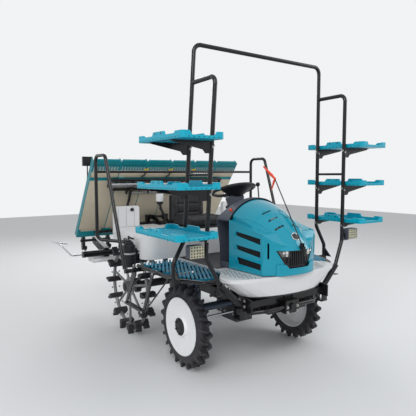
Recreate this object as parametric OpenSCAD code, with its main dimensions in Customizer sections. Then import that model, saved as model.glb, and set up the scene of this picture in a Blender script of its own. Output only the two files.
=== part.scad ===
// Six-row riding rice transplanter, parked with its planting unit raised.
// X runs to the machine's left, Y to its rear and Z up from the floor.
// Stations along the machine are measured from the front axle and moved
// to the middle of the machine's length by at_axle().

/* [Running gear] */
// Distance between the front and the rear axle
wheelbase = 1042; // [1000:2:1080]
// Distance between the middles of the front tyres
front_track = 1220; // [1200:5:1240]
// Distance between the middles of the rear wheels
rear_track = 1240; // [1220:5:1250]
// Radius over the front tyre's lugs
front_tip_r = 340; // [330:1:350]
// Radius of the white front wheel disc
front_rim_r = 235; // [225:1:245]
// Width over the front tyre's lugs
front_tyre_w = 100; // [90:1:106]
// Height of a front tyre's lug
front_lug_h = 38; // [30:1:42]
// Number of lugs on a front tyre
front_lugs = 24; // [20, 24, 28]
// Radius over the rear wheel's paddles
rear_tip_r = 460; // [450:1:468]
// Number of paddle pairs on a rear wheel
rear_paddles = 14; // [12, 14, 16]
// Width over a pair of paddles
rear_wheel_w = 140; // [120:1:144]
// Diameter of the rear wheel's hoop tube
hoop_d = 34; // [28:1:40]

/* [Steering] */
// Distance from a front wheel's middle in to its kingpin
kingpin_inset = 110; // [107:1:115]
// Length of a steering arm
steer_arm = 130; // [115:1:140]
// Diameter of the steering wheel
steering_wheel_d = 410; // [380:5:430]
// Height of the steering wheel's hub
steering_wheel_z = 1430; // [1410:5:1450]

/* [Body] */
// Height of the platform's tread
deck_z = 800; // [794:1:806]
// Half the width of the platform, to the middle of its edge tube
deck_half_w = 800; // [796:1:806]
// Width of the hood across its base
hood_w = 560; // [550:2:570]
// Height of the hood's crown at its rear
hood_crown_z = 1360; // [1340:5:1380]
// Wall of the moulded covers
cover_wall = 5; // [4:0.5:7]
// Height of the fenders' top
fender_z = 1050; // [1040:2:1060]
// Width of the seat
seat_w = 470; // [440:5:490]
// Top of the backrest
seat_back_z = 1390; // [1370:5:1410]

/* [Seedling racks] */
// Height of the arch over the driver
arch_z = 2517; // [2490:1:2540]
// Half the width of the arch at its top
arch_half_w = 662; // [655:1:668]
// Diameter of the rack's tubes
rack_tube_d = 32; // [28:1:36]
// Height of the lowest spare tray's underside
tray_z = 1145; // [1130:1:1160]
// Height from one spare tray to the next
tray_step = 326; // [310:1:336]
// Width of a spare tray
tray_w = 325; // [310:1:335]
// Length of a spare tray
tray_l = 622; // [600:2:640]

/* [Planting unit] */
// Distance between two planted rows
row_pitch = 300; // [296:1:302]
// Length of the seedling table down its slope
table_l = 1021; // [1000:1:1040]
// Slope of the seedling table
table_slope = 54; // [52:0.5:56]
// Radius that the planting claws sweep
claw_sweep_r = 165; // [150:1:172]
// Length of a lift link between its pins
link_l = 538.5; // [530:0.5:546]
// Angle of the lift links above the level, raised
link_angle = 21.8; // [20:0.2:24]

/* [Hidden] */
$fn = 48;

// Shared places and clearances
front_end_y = -730;
rear_end_y = wheelbase + 1148;
front_axle_y = -(front_end_y + rear_end_y) / 2;
seat_gap = 0.3;
run_gap = 0.3;
eps = 1;
elbow_lap = 0.4;
front_lug_t = 22;
paddle_t = 26;
// Height of an axle whose wheel stands on two neighbouring lugs
function standing_z(tip_r, lug_t, lugs) =
    norm([tip_r, lug_t / 2]) * cos(180 / lugs - atan2(lug_t / 2, tip_r));
front_axle_z = standing_z(front_tip_r, front_lug_t, front_lugs);
rear_axle_z = standing_z(rear_tip_r, paddle_t, rear_paddles);
axle_beam_z = front_axle_z + 118;
knuckle_top_z = axle_beam_z - 34 - seat_gap;
front_wheel_x = front_track / 2;
kingpin_x = front_wheel_x - kingpin_inset;
rear_wheel_x = rear_track / 2;

// Frame rails
rail_x = 200;
rail_w = 60;
rail_z0 = 500;
rail_h = 80;
rail_front_y = -500;
rail_rear_y = wheelbase + 48;
outrigger_d = 36;
edge_tube_d = 32;
edge_z = deck_z - 22;
outrigger_z = edge_z - 30;
outrigger_ys = [-120, 440];
step_under_z = outrigger_z + outrigger_d / 2 + seat_gap;

foot_plate_x = 400;
foot_plate_z = 655;

// Lift linkage pins, as [y, z]
lower_pin = [wheelbase + 58, 550];
link_rise = 330;
upper_pin = lower_pin + [0, link_rise];
link_vector = link_l * [cos(link_angle), sin(link_angle)];
lower_hitch = lower_pin + link_vector;
upper_hitch = upper_pin + link_vector;
link_pin_r = 14;
lower_link_x = 250;
upper_link_x = 62;
cylinder_foot = [wheelbase + 88, 500];
cylinder_reach = 240;
cylinder_eye = upper_pin + cylinder_reach * [cos(link_angle), sin(link_angle)];

// Hood, its nose and the hinge at its foot, as [y, z]
nose_y = -690;
hood_foot_z = deck_z + 12;
hood_hinge = [nose_y + 18, hood_foot_z + 14];
marker_hinge = [front_end_y + 24, 1040];
hinge_pin_r = 6;
hinge_arm_x = 60;
hinge_arm_t = 10;

// Seedling table
lanes = 6;
table_w = lanes * row_pitch;
table_top = [wheelbase + 218, 1720];
table_t = 30;
rail_drop = 62;
belt_edge = 30;
belt_l = [240, table_l - 80];
table_rail_d = 32;
upper_rail_l = 210;
lower_rail_l = 930;

// Planting rotors, as [y, z]
rotor_axis = [wheelbase + 1018, 800];
case_xs = [-2 * row_pitch, 0, 2 * row_pitch];
cross_tube = [wheelbase + 658, 700];
cross_tube_half = 880;
cross_tube_d = 70;

// Colours
teal = [0.02, 0.62, 0.66];
dark_teal = [0.02, 0.42, 0.50];
white = [0.88, 0.89, 0.90];
black = [0.07, 0.07, 0.08];
dark_grey = [0.22, 0.22, 0.24];
steel = [0.62, 0.63, 0.65];
rubber = [0.10, 0.10, 0.11];
beige = [0.72, 0.66, 0.52];
orange = [0.90, 0.22, 0.12];

// Moves a drawing from the front axle's station to the part's own origin
module at_axle() {
    translate([0, front_axle_y, 0]) children();
}

// Repeats a right-hand piece on the left
module both_sides() {
    children();
    mirror([1, 0, 0]) children();
}

// A round bar between two points
module bar(from, to, d) {
    v = to - from;
    l = norm(v);
    translate(from)
        rotate([0, acos(v[2] / l), atan2(v[1], v[0])])
            cylinder(d = d, h = l);
}

function unit(v) = v / norm(v);
function bend_angle(p, q, r) = acos(max(-1, min(1, unit(q - p) * unit(r - q))));
function bend_trim(p, q, r, bend_r) = bend_r * tan(bend_angle(p, q, r) / 2);

// A round elbow from one straight to the next, a little fatter than the bars that end in it
module elbow(p, q, r, d, bend_r) {
    u = unit(q - p);
    n = unit(cross(u, unit(r - q)));
    out = cross(u, n);
    c = q - bend_trim(p, q, r, bend_r) * u - bend_r * out;
    multmatrix([[out[0], u[0], n[0], c[0]], [out[1], u[1], n[1], c[1]], [out[2], u[2], n[2], c[2]], [0, 0, 0, 1]])
        rotate_extrude(angle = bend_angle(p, q, r)) translate([bend_r, 0]) circle(d = d + 2 * elbow_lap);
}

// A tube through a route of points, with a bend of radius bend_r at each corner
module bent_tube(route, d, bend_r) {
    last = len(route) - 1;
    for (i = [0 : last - 1]) {
        v = unit(route[i + 1] - route[i]);
        trim_from = i == 0 ? 0 : bend_trim(route[i - 1], route[i], route[i + 1], bend_r) - elbow_lap;
        trim_to = i == last - 1 ? 0 : bend_trim(route[i], route[i + 1], route[i + 2], bend_r) - elbow_lap;
        bar(route[i] + trim_from * v, route[i + 1] - trim_to * v, d);
    }
    for (i = [1 : last - 1]) elbow(route[i - 1], route[i], route[i + 1], d, bend_r);
}

// A box given by its lowest and highest corner
module block(low, high) {
    translate(low) cube(high - low);
}

// A flat rectangle with round corners, given by its lowest and highest corner
module rounded(low, high, r) {
    translate(low + [r, 0]) square(high - low - [2 * r, 0]);
    translate(low + [0, r]) square(high - low - [0, 2 * r]);
    for (x = [low[0] + r, high[0] - r], y = [low[1] + r, high[1] - r]) translate([x, y]) circle(r = r);
}

// A round bar along X between two stations
module cross_bar(x0, x1, yz, r) {
    translate([x0, yz[0], yz[1]]) rotate([0, 90, 0]) cylinder(r = r, h = x1 - x0);
}

// Plate in the YZ plane, its outline given as [y, z] points
module side_plate(x0, t, outline) {
    translate([x0, 0, 0]) rotate([90, 0, 90]) linear_extrude(t) polygon(outline);
}

// The two long rails with their cross members, platform outriggers and link tower
module main_frame() at_axle() color(black) {
    front_bar = [-560, rail_front_y];
    plate_t = 12;
    tower_z = upper_pin[1] + 78;
    tower_y = [rail_rear_y - 45, rail_rear_y - 5];
    both_sides() {
        block([rail_x - rail_w / 2, rail_front_y, rail_z0],
              [rail_x + rail_w / 2, rail_rear_y, rail_z0 + rail_h]);
        // Foot plates that take the front uprights
        block([foot_plate_x, front_bar[0] - 50, rail_z0 + 62],
              [foot_plate_x + plate_t, front_bar[1] + 60, foot_plate_z]);
        // Outriggers under the platform, on posts from the rails
        for (y = outrigger_ys) {
            reach = y == outrigger_ys[1] ? deck_half_w + 135 : deck_half_w;
            block([rail_x - 18, y - 18, rail_z0 + rail_h],
                  [rail_x + 18, y + 18, outrigger_z]);
            cross_bar(rail_x - 18, reach, [y, outrigger_z], outrigger_d / 2);
        }
        // Edge tube round the side step
        bent_tube([
            [deck_half_w, outrigger_ys[1] + 20, edge_z],
            [deck_half_w, -185, edge_z],
            [deck_half_w - 125, -400, edge_z],
            [deck_half_w - 240, -400, edge_z]
        ], edge_tube_d, 40);
        // Link tower behind the seat
        block([rail_x - 20, tower_y[0], rail_z0 + rail_h],
              [rail_x + 20, tower_y[1], tower_z]);
        side_plate(lower_link_x - 26, 10, [
            [tower_y[0] - 40, rail_z0 + 5], [lower_pin[0] + 22, lower_pin[1] - 22],
            [lower_pin[0] + 22, lower_pin[1] + 22], [tower_y[0] - 40, rail_z0 + rail_h]
        ]);
        cross_bar(rail_x, lower_link_x + 22, lower_pin, link_pin_r);
        side_plate(upper_link_x + 16, 10, [
            [tower_y[0], upper_pin[1] - 25], [upper_pin[0] + 20, upper_pin[1] - 22],
            [upper_pin[0] + 20, upper_pin[1] + 22], [tower_y[0], upper_pin[1] + 60]
        ]);
    }
    cross_bar(-upper_link_x - 20, upper_link_x + 20, upper_pin, link_pin_r);
    block([-foot_plate_x - 2, front_bar[0], rail_z0 + 78], [foot_plate_x + 2, front_bar[1], rail_z0 + 130]);
    block([-rail_x, front_bar[1] - 60, rail_z0], [rail_x, front_bar[1], rail_z0 + 82]);
    block([-rail_x, 330, rail_z0 + 10], [rail_x, 380, rail_z0 + 70]);
    block([-rail_x, tower_y[0], rail_z0 + 10], [rail_x, tower_y[1], rail_z0 + 70]);
    block([-rail_x, tower_y[0], tower_z - 45], [rail_x, tower_y[1], tower_z]);
    // Brackets and pins of the hood's hinge
    both_sides() {
        side_plate(hinge_arm_x - 20, 8, [
            [front_bar[0], rail_z0 + 100], [front_bar[1], rail_z0 + 100], [front_bar[1], rail_z0 + 160],
            [hood_hinge[0] + 74, 760], [hood_hinge[0] + 68, hood_hinge[1] + 12], [hood_hinge[0], hood_hinge[1] + 12],
            [hood_hinge[0] - 9, hood_hinge[1]], [hood_hinge[0], hood_hinge[1] - 11],
            [hood_hinge[0] + 36, hood_hinge[1] - 14], [hood_hinge[0] + 38, 760]
        ]);
        cross_bar(hinge_arm_x - 20, hinge_arm_x + hinge_arm_t + 6, hood_hinge, hinge_pin_r);
    }
    // Foot bracket of the lift cylinder
    for (x = [-36, 26])
        side_plate(x, 10, [
            [tower_y[1] - 10, rail_z0 + 12], [cylinder_foot[0] + 18, cylinder_foot[1] - 18],
            [cylinder_foot[0] + 18, cylinder_foot[1] + 18], [tower_y[1] - 10, rail_z0 + 68]
        ]);
    cross_bar(-30, 30, cylinder_foot, link_pin_r - 2);
}

// Bent bar low across the front with its middle boss
module front_bumper() at_axle() color(black) {
    bar_z = rail_z0 + 26;
    difference() {
        union() {
            bent_tube([
                [-430, -455, bar_z - 10], [-250, -590, bar_z + 20],
                [250, -590, bar_z + 20], [430, -455, bar_z - 10]
            ], 34, 60);
            block([-70, -614, bar_z - 30], [70, -560.3, bar_z + 70]);
        }
        for (x = [-40, 40])
            translate([x, -560, bar_z - 12]) rotate([90, 0, 0]) cylinder(r = 6, h = 80);
    }
    translate([0, -614, bar_z + 20]) rotate([90, 0, 0]) cylinder(r = 28, h = 16);
}

// Engine as one plain block between the rails, under the hood
module engine() at_axle() color(dark_grey) {
    half_w = rail_x - rail_w / 2 - seat_gap;
    sump_z = rail_z0 + 42;
    block([-160, -440, sump_z], [160, -210, 1040]);
    block([-140, -211, sump_z], [140, -80, 760]);
    block([-half_w, -300, sump_z], [half_w, -240, sump_z + 30]);
}

// Transmission case on the front axle line
module gearbox() at_axle() color(steel) {
    block([-110, -70, 320], [110, 250, rail_z0 - 18]);
    block([-90, -20, 270], [90, 200, 320]);
    both_sides() block([108, 60, rail_z0 - 18], [rail_x + 20, 160, rail_z0]);
    block([-110, 60, rail_z0 - 18], [110, 160, rail_z0]);
}

// Axle tubes and kingpin housings of the front axle
module front_axle() at_axle() color(dark_grey) both_sides() {
    cross_bar(110 + seat_gap, kingpin_x - 20, [0, axle_beam_z], 33);
    translate([kingpin_x, 0, axle_beam_z - 34]) cylinder(r = 44, h = 210);
    translate([kingpin_x, 0, axle_beam_z + 176]) cylinder(r = 30, h = 80);
    translate([kingpin_x, 0, axle_beam_z + 60]) cylinder(r = 48, h = 14);
}

// Rear axle tube with its middle case, saddles and stub shafts
module rear_axle() at_axle() color(dark_grey) {
    axle = [wheelbase, rear_axle_z];
    inner = rear_wheel_x - 62;
    cross_bar(-inner, inner, axle, 40);
    both_sides() {
        cross_bar(inner - 36, inner, axle, 74);
        cross_bar(inner, rear_wheel_x + 40, axle, 20);
        block([rail_x - 30, wheelbase - 40, rear_axle_z + 10], [rail_x + 30, wheelbase + 40, rail_z0]);
    }
    block([-130, wheelbase - 80, rear_axle_z - 90], [130, wheelbase + 62, rear_axle_z + 40]);
}

// White moulded fairing round the front of the platform: its rim as [x, y], and the foot of its skirt
deck_half_x = 388;
deck_front_y = -148;
console_front_y = 472;
rim_arc_r = 1500;
rim_arc_y = -658 + rim_arc_r;
rim_corner_r = 110;
rim_corner_x = 458;
rim_corner_y = rim_arc_y - sqrt(pow(rim_arc_r - rim_corner_r, 2) - pow(rim_corner_x, 2));
rim_meet_a = atan2(rim_corner_y - rim_arc_y, rim_corner_x);
function arc(c, r, from, to, steps) = [
    for (i = [0 : steps]) let (a = from + (to - from) * i / steps) c + r * [cos(a), sin(a)]
];
fairing_rim = concat(
    [[548, -405]],
    arc([rim_corner_x, rim_corner_y], rim_corner_r, 12, rim_meet_a, 7),
    arc([0, rim_arc_y], rim_arc_r, rim_meet_a - 3, -90, 5)
);
fairing_foot = [
    [360, -410], [400, -450], [402, -490], [380, -535], [310, -585], [220, -622], [110, -645], [0, -652]
];
strip_x = deck_half_x + seat_gap;
strip_w = 11;
fairing_top = concat([
    [strip_x, deck_front_y - seat_gap], [strip_x, console_front_y - 6],
    [strip_x + strip_w, console_front_y - 6], [strip_x + strip_w, -222], [415, -235]
], fairing_rim);
function mirrored(points) = concat(points, [for (i = [len(points) - 2 : -1 : 0]) [-points[i][0], points[i][1]]]);
function shrunk(points, t) = [for (p = points) [max(0, abs(p[0]) - t) * sign(p[0]), p[1] + t]];

module fairing_shell(inset, top_z, foot_z) {
    slab = 1;
    hull() {
        translate([0, 0, top_z - slab]) linear_extrude(slab) polygon(shrunk(mirrored(fairing_rim), inset));
        translate([0, 0, foot_z]) linear_extrude(slab) polygon(shrunk(mirrored(fairing_foot), inset));
    }
}

module front_fairing() at_axle() color(white) {
    top_z = deck_z + 6;
    plate = 22;
    foot_z = 662;
    difference() {
        union() {
            translate([0, 0, top_z - plate]) linear_extrude(plate) polygon(mirrored(fairing_top));
            fairing_shell(0, top_z - plate + 1, foot_z);
        }
        fairing_shell(cover_wall, top_z - plate, foot_z - eps);
        // Way for the engine, and for the hood's hinge brackets before it
        block([-235, -560, foot_z - 10], [235, -180, top_z + 10]);
        block([-125, -640, foot_z + 80], [125, -559, top_z + 10]);
        // The wheels' side stays open below the rim
        block([-700, -380, foot_z - 10], [700, -100, top_z - plate]);
    }
}

// Moulded floor between the side steps with a raised edge
module floor_deck() at_axle() color(dark_grey) {
    rim_w = 16;
    rear_y = console_front_y + 48;
    difference() {
        block([-deck_half_x, deck_front_y, deck_z - 18], [deck_half_x, rear_y, deck_z + 8]);
        block([-deck_half_x + rim_w, deck_front_y + 160, deck_z + 2],
              [deck_half_x - rim_w, console_front_y - rim_w, deck_z + 9]);
    }
    for (y = [150, 300])
        both_sides() block([rail_x - 20, y, rail_z0 + rail_h + seat_gap], [rail_x + 20, y + 35, deck_z - 17]);
}

// Slotted treads at the platform's two sides
step_outer_x = deck_half_w - edge_tube_d / 2 - 8;
step_front_x = deck_half_w - 136;
step_outline = [
    [402, console_front_y - 6], [step_outer_x, console_front_y - 6], [step_outer_x, -176], [step_front_x, -376],
    [530, -376], [418, -233], [402, -220]
];
module side_steps() at_axle() color(dark_teal) both_sides() {
    slots = 15;
    pitch = 38;
    slot_w = 16;
    edge = 24;
    first_y = -140;
    // Slots of the slanting front end, each as [y, inner x, outer x]
    front_slots = [
        [-188, 450, step_outer_x - 40], [-226, 480, step_outer_x - 60], [-264, 520, step_outer_x - 82],
        [-302, 545, step_outer_x - 104], [-340, 560, step_outer_x - 126]
    ];
    difference() {
        translate([0, 0, step_under_z]) linear_extrude(deck_z - step_under_z) polygon(step_outline);
        for (i = [0 : slots - 1])
            block([430, first_y + i * pitch, step_under_z - eps],
                  [step_outer_x - edge, first_y + i * pitch + slot_w, deck_z + eps]);
        for (slot = front_slots)
            block([slot[1], slot[0], step_under_z - eps], [slot[2], slot[0] + slot_w, deck_z + eps]);
    }
}

// Boarding steps hung on the rear outriggers and the platform's edge tubes
module boarding_steps() at_axle() color(black) both_sides() {
    x = deck_half_w + 45;
    t = 10;
    rung_z = 436;
    hanger = [outrigger_ys[1], outrigger_z];
    front_y = -150;
    difference() {
        side_plate(x - t / 2, t, [
            [hanger[0] - 32, hanger[1] + 36], [hanger[0] + 32, hanger[1] + 36], [hanger[0] + 34, hanger[1] - 26],
            [628, rung_z], [592, rung_z], [hanger[0] - 32, hanger[1] - 34]
        ]);
        cross_bar(x - t, x + t, hanger, outrigger_d / 2 + seat_gap);
    }
    side_plate(x - t / 2, t, [[70, 790], [112, 790], [282, rung_z], [246, rung_z]]);
    block([x - 22, 250, rung_z - 18], [x + 22, 620, rung_z]);
    bar([x, front_y, edge_z], [x, 250, rung_z - 6], 12);
    for (y = [90, front_y])
        cross_bar(deck_half_w + edge_tube_d / 2 + seat_gap, x + t / 2, [y, edge_z], 10);
}

// Seat console and fenders over the rear wheels, one moulding with round corners
fender_outer_x = 722;
fender_rear_y = wheelbase + 220;
module fender_envelope(inset) {
    x = fender_outer_x - inset;
    front_y = console_front_y + inset;
    rear_y = fender_rear_y - inset;
    top_z = fender_z - inset;
    low_z = 600;
    mid_y = 800;
    intersection() {
        linear_extrude(fender_z + 1) {
            rounded([-x, front_y], [x, mid_y + 300], 130 - inset);
            rounded([-x, mid_y], [x, rear_y], 60 - inset);
        }
        translate([0, fender_rear_y + 1, 0]) rotate([90, 0, 0]) linear_extrude(fender_rear_y)
            rounded([-x, low_z], [x, top_z], 70 - inset);
        translate([-fender_outer_x, 0, 0]) rotate([90, 0, 90]) linear_extrude(2 * fender_outer_x) {
            rounded([front_y, low_z], [mid_y + 300, top_z], 45 - inset);
            rounded([mid_y, low_z], [rear_y, top_z], 110 - inset);
        }
    }
}
module rear_fenders() at_axle() color(white) {
    wall = 8;
    console_x = 268;
    console_rear_y = rail_rear_y - 60;
    panel_z = 1262;
    panel_y = [wheelbase - 32, wheelbase + 18];
    panel_x = [520, fender_outer_x + 60];
    well_z = fender_z - 165;
    difference() {
        union() {
            intersection() {
                union() {
                    block([-fender_outer_x, console_front_y, deck_z + 8.3],
                          [fender_outer_x, console_rear_y, fender_z]);
                    both_sides()
                        block([console_x + 20, console_front_y, fender_z - 150],
                              [fender_outer_x, fender_rear_y, fender_z]);
                }
                fender_envelope(0);
            }
            both_sides() translate([0, panel_y[1], 0]) rotate([90, 0, 0]) linear_extrude(panel_y[1] - panel_y[0])
                rounded([panel_x[0], fender_z - 60], [panel_x[1], panel_z], 25);
        }
        // Wheel wells and the inside of the console
        intersection() {
            union() {
                both_sides() block([console_x + 40, console_front_y, deck_z - 20],
                                   [fender_outer_x, fender_rear_y, fender_z - wall - 40]);
                block([-console_x, console_front_y, deck_z - 20], [console_x, console_rear_y + eps, fender_z - wall]);
            }
            fender_envelope(wall);
        }
        both_sides() block([console_x + 40, console_front_y + 120, deck_z - 20],
                           [fender_outer_x + eps, fender_rear_y + eps, well_z]);
        both_sides() block([panel_x[0] + wall, panel_y[0] + wall, fender_z - 70],
                           [fender_outer_x - wall, panel_y[1] - wall, panel_z - wall]);
    }
}

module seat_cushion() at_axle() color(black) {
    block([-seat_w / 2, 520, fender_z + seat_gap], [seat_w / 2, 900, fender_z + 120]);
}

module seat_back() at_axle() color(black) {
    block([-seat_w / 2 + 15, 900.6, fender_z + 20], [seat_w / 2 - 15, 975, seat_back_z]);
}

// Vapour canister with its cap, beside the right fender
module canister() at_axle() color(black) {
    translate([-792, 660, 736])
        rotate_extrude()
            polygon([
                [0, 0], [48, 0], [55, 8], [55, 38], [58, 41], [58, 57], [55, 60], [55, 194], [47, 204],
                [38, 205], [38, 224], [32, 228], [22, 229], [22, 240], [0, 240]
            ]);
    block([-790, 640, 780], [-fender_outer_x - seat_gap, 680, 900]);
}

// Dash cowl arched over the hood's rear edge; its instrument slope as [y, z], from the driver's side up
dash_top = [[-30, 1215], [-128, 1375]];
dash_half = 300;
module dash_arch(inset) {
    shoulder_z = 1205;
    arch_r = 350;
    union() {
        block([-dash_half + inset, -240, deck_z - 20], [dash_half - inset, 20, shoulder_z]);
        translate([0, 20, shoulder_z - sqrt(pow(arch_r, 2) - pow(dash_half, 2))]) rotate([90, 0, 0])
            cylinder(r = arch_r - inset, h = 260, $fn = 96);
    }
}
module dash() at_axle() color(dark_grey) {
    front_y = -190;
    wall = 6;
    difference() {
        intersection() {
            dash_arch(0);
            side_plate(-dash_half, 2 * dash_half, [
                [front_y, deck_z + 8.3], [-70, deck_z + 8.3], [-60, 1000], [-20, 1170],
                dash_top[0], dash_top[1], [front_y, dash_top[1][1]]
            ]);
        }
        intersection() {
            dash_arch(wall);
            side_plate(-dash_half, 2 * dash_half, [
                [front_y - eps, deck_z], [-76, deck_z], [-66, 1000], [-28, 1168], [-37, 1210],
                dash_top[1] - [8, 4], [front_y - eps, dash_top[1][1] + eps]
            ]);
        }
        // Recess of the instrument panel
        translate([0, dash_top[0][0], dash_top[0][1]])
            rotate([atan2(dash_top[1][1] - dash_top[0][1], dash_top[1][0] - dash_top[0][0]), 0, 0])
                block([-90, 40, -2], [90, 150, 2]);
    }
}

// Column and hub carrier under the steering wheel
column_top = [140, steering_wheel_z];
column_lean = 18;
module steering_column() at_axle() color(black) {
    translate([0, column_top[0], column_top[1]]) rotate([-column_lean, 0, 0]) {
        translate([0, 0, -290]) cylinder(r = 24, h = 270);
        translate([0, 0, -330]) cylinder(r1 = 62, r2 = 26, h = 140);
    }
}

module steering_wheel() at_axle() color(black) {
    translate([0, column_top[0], column_top[1]]) rotate([-column_lean, 0, 0]) {
        rotate_extrude() translate([steering_wheel_d / 2 - 15, 0]) circle(r = 14);
        translate([0, 0, -19]) cylinder(r = 36, h = 30);
        for (a = [90, 210, 330])
            rotate([0, 0, a]) translate([25, -11, -9]) cube([steering_wheel_d / 2 - 45, 22, 8]);
    }
}

// Hand levers that stand out of the dash's sloping top
module levers() at_axle() color(black) {
    n = [-(dash_top[1][0] - dash_top[0][0]), dash_top[1][1] - dash_top[0][1]];
    out = [n[1], n[0]] / norm(n);
    base = (dash_top[0] * 0.6 + dash_top[1] * 0.4) + seat_gap * out;
    knee = base + 30 * out;
    bent_tube([[150, base[0], base[1]], [150, knee[0], knee[1]], [172, 5, 1480]], 12, 12);
    translate([172, 5, 1480]) sphere(r = 20);
    bar([-205, base[0], base[1]], [-205, knee[0], knee[1]], 12);
    translate([-205, knee[0], knee[1]]) sphere(r = 15);
}

// Inverted-U handrails behind the driver and the bar between them
module rear_handrails() at_axle() color(black) {
    x = 950;
    top_z = 1750;
    leg_y = [wheelbase - 242, wheelbase - 2];
    flange = [wheelbase - 156, 930];
    flange_x = fender_outer_x + seat_gap;
    flange_t = 12;
    flange_half = 34;
    both_sides()
        bent_tube([
            [x - 20, outrigger_ys[1] + 10, outrigger_z + outrigger_d / 2 + seat_gap],
            [x, leg_y[0], top_z], [x, leg_y[1], top_z], [x, leg_y[1], flange[1] + 24],
            [flange_x + flange_t, flange[0], flange[1]]
        ], 32, 60);
    // Flanges on the fenders' outer walls
    both_sides() block([flange_x, flange[0] - flange_half, flange[1] - flange_half],
                       [flange_x + flange_t, flange[0] + flange_half, flange[1] + flange_half]);
    cross_bar(-x, x, [leg_y[1], 1600], 13);
}

// The rack's uprights flare outwards and back as they go down
rack_flare = 0.041;
rack_rake = 0.039;
tall_top_y = -252;
front_top_y = -547;
front_loop_z = 2238;
rung_z = 1569;
function rack_x(z) = arch_half_w + (arch_z - z) * rack_flare;
function rack_y(top_y, z) = top_y + (arch_z - z) * rack_rake;
function on_rack(top_y, z) = [rack_x(z), rack_y(top_y, z), z];
arch_foot_x = deck_half_w + 24;
function arch_side() = [
    [arch_foot_x, -200, edge_z - 24],
    [arch_foot_x, -200, 905],
    on_rack(tall_top_y, 1085),
    on_rack(tall_top_y, arch_z)
];
function flipped(points) = [for (i = [len(points) - 1 : -1 : 0]) [-points[i][0], points[i][1], points[i][2]]];

module rack_arch_tube(d) {
    bent_tube(concat(arch_side(), flipped(arch_side())), d, 60);
}

module rack_arch() at_axle() color(black) {
    difference() {
        union() {
            rack_arch_tube(rack_tube_d);
            // Clamps on the platform's edge tube
            both_sides() {
                block([arch_foot_x - 36, -222, edge_z - 24], [arch_foot_x + 10, -178, edge_z + 24]);
                side_plate(arch_foot_x - 5, 8, [[-190, edge_z + 20], [-190, edge_z + 125], [-290, edge_z + 20]]);
            }
        }
        both_sides()
            bent_tube([
                [deck_half_w, outrigger_ys[1] + 20, edge_z],
                [deck_half_w, -185, edge_z],
                [deck_half_w - 125, -400, edge_z],
                [deck_half_w - 240, -400, edge_z]
            ], edge_tube_d + 2 * seat_gap, 40);
    }
}

// Front uprights with their top loop and rung, coped onto the arch
module rack_ladders() at_axle() color(black) {
    socket_d = 46;
    foot = [424, -520, 592];
    knee = [604, -512, 752];
    shoulder = [rack_x(985), rack_y(front_top_y, 985), 985];
    difference() {
        both_sides() {
            bent_tube([
                on_rack(tall_top_y, front_loop_z),
                on_rack(front_top_y, front_loop_z),
                shoulder, knee, foot
            ], rack_tube_d, 50);
            bar(on_rack(tall_top_y, rung_z), on_rack(front_top_y, rung_z), 20);
            bar(knee + [18, 0, 30], foot + [14, 0, 12], socket_d);
            block([412 + seat_gap, -560, 572], [424, -470, 660]);
        }
        rack_arch_tube(rack_tube_d + 2 * seat_gap);
        both_sides() block([380, -700, 400], [412 + seat_gap, -400, 800]);
    }
}

// Gussets under the spare trays, outboard of each upright
bracket_l = 300;
module tray_brackets() at_axle() color(black) both_sides() {
    t = 6;
    for (i = [0 : 2])
        for (top_y = [tall_top_y, front_top_y]) {
            depth = i == 0 ? 40 : 84;
            z = tray_z + i * tray_step - seat_gap;
            x0 = rack_x(z) + rack_tube_d / 2 + seat_gap;
            translate([0, rack_y(top_y, z) + t / 2, 0]) rotate([90, 0, 0]) linear_extrude(t)
                polygon([
                    [x0, z], [x0 + bracket_l, z], [x0 + bracket_l, z - 12],
                    [x0 + 60, z - depth * 0.7], [x0 + 40, z - depth], [x0 + depth * rack_flare, z - depth]
                ]);
            block([x0 + 2, rack_y(top_y, z) - 16, z - 6], [x0 + bracket_l, rack_y(top_y, z) + 16, z]);
        }
}

// Spare seedling trays, three on each side: high corners and grips, low lips between them
module spare_tray() {
    wall = 14;
    floor_t = 8;
    lip_h = 20;
    side_h = 32;
    corner_h = 46;
    grip_h = 57;
    middle = tray_l / 2;
    side_wall = [
        [0, 0], [0, corner_h], [85, corner_h], [100, side_h], [middle - 85, side_h], [middle - 70, grip_h],
        [middle + 70, grip_h], [middle + 85, side_h], [tray_l - 100, side_h], [tray_l - 85, corner_h],
        [tray_l, corner_h], [tray_l, 0]
    ];
    end_wall = [
        [0, 0], [0, corner_h], [58, corner_h], [76, lip_h], [tray_w - 76, lip_h], [tray_w - 58, corner_h],
        [tray_w, corner_h], [tray_w, 0]
    ];
    intersection() {
        linear_extrude(grip_h + 1) rounded([0, 0], [tray_w, tray_l], 24);
        union() {
            cube([tray_w, tray_l, floor_t]);
            for (x = [0, tray_w - wall]) side_plate(x, wall, side_wall);
            for (y = [wall, tray_l])
                translate([0, y, 0]) rotate([90, 0, 0]) linear_extrude(wall) polygon(end_wall);
            for (x = [46 : 34 : tray_w - 46])
                translate([x, wall - eps, 1]) cube([7, tray_l - 2 * wall + 2 * eps, 14]);
        }
    }
}
module spare_trays() at_axle() color(teal) both_sides()
    for (i = [0 : 2]) {
        z = tray_z + i * tray_step;
        translate([rack_x(z) + rack_tube_d / 2 + 5, rack_y(front_top_y, z) - 178, z]) spare_tray();
    }

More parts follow.
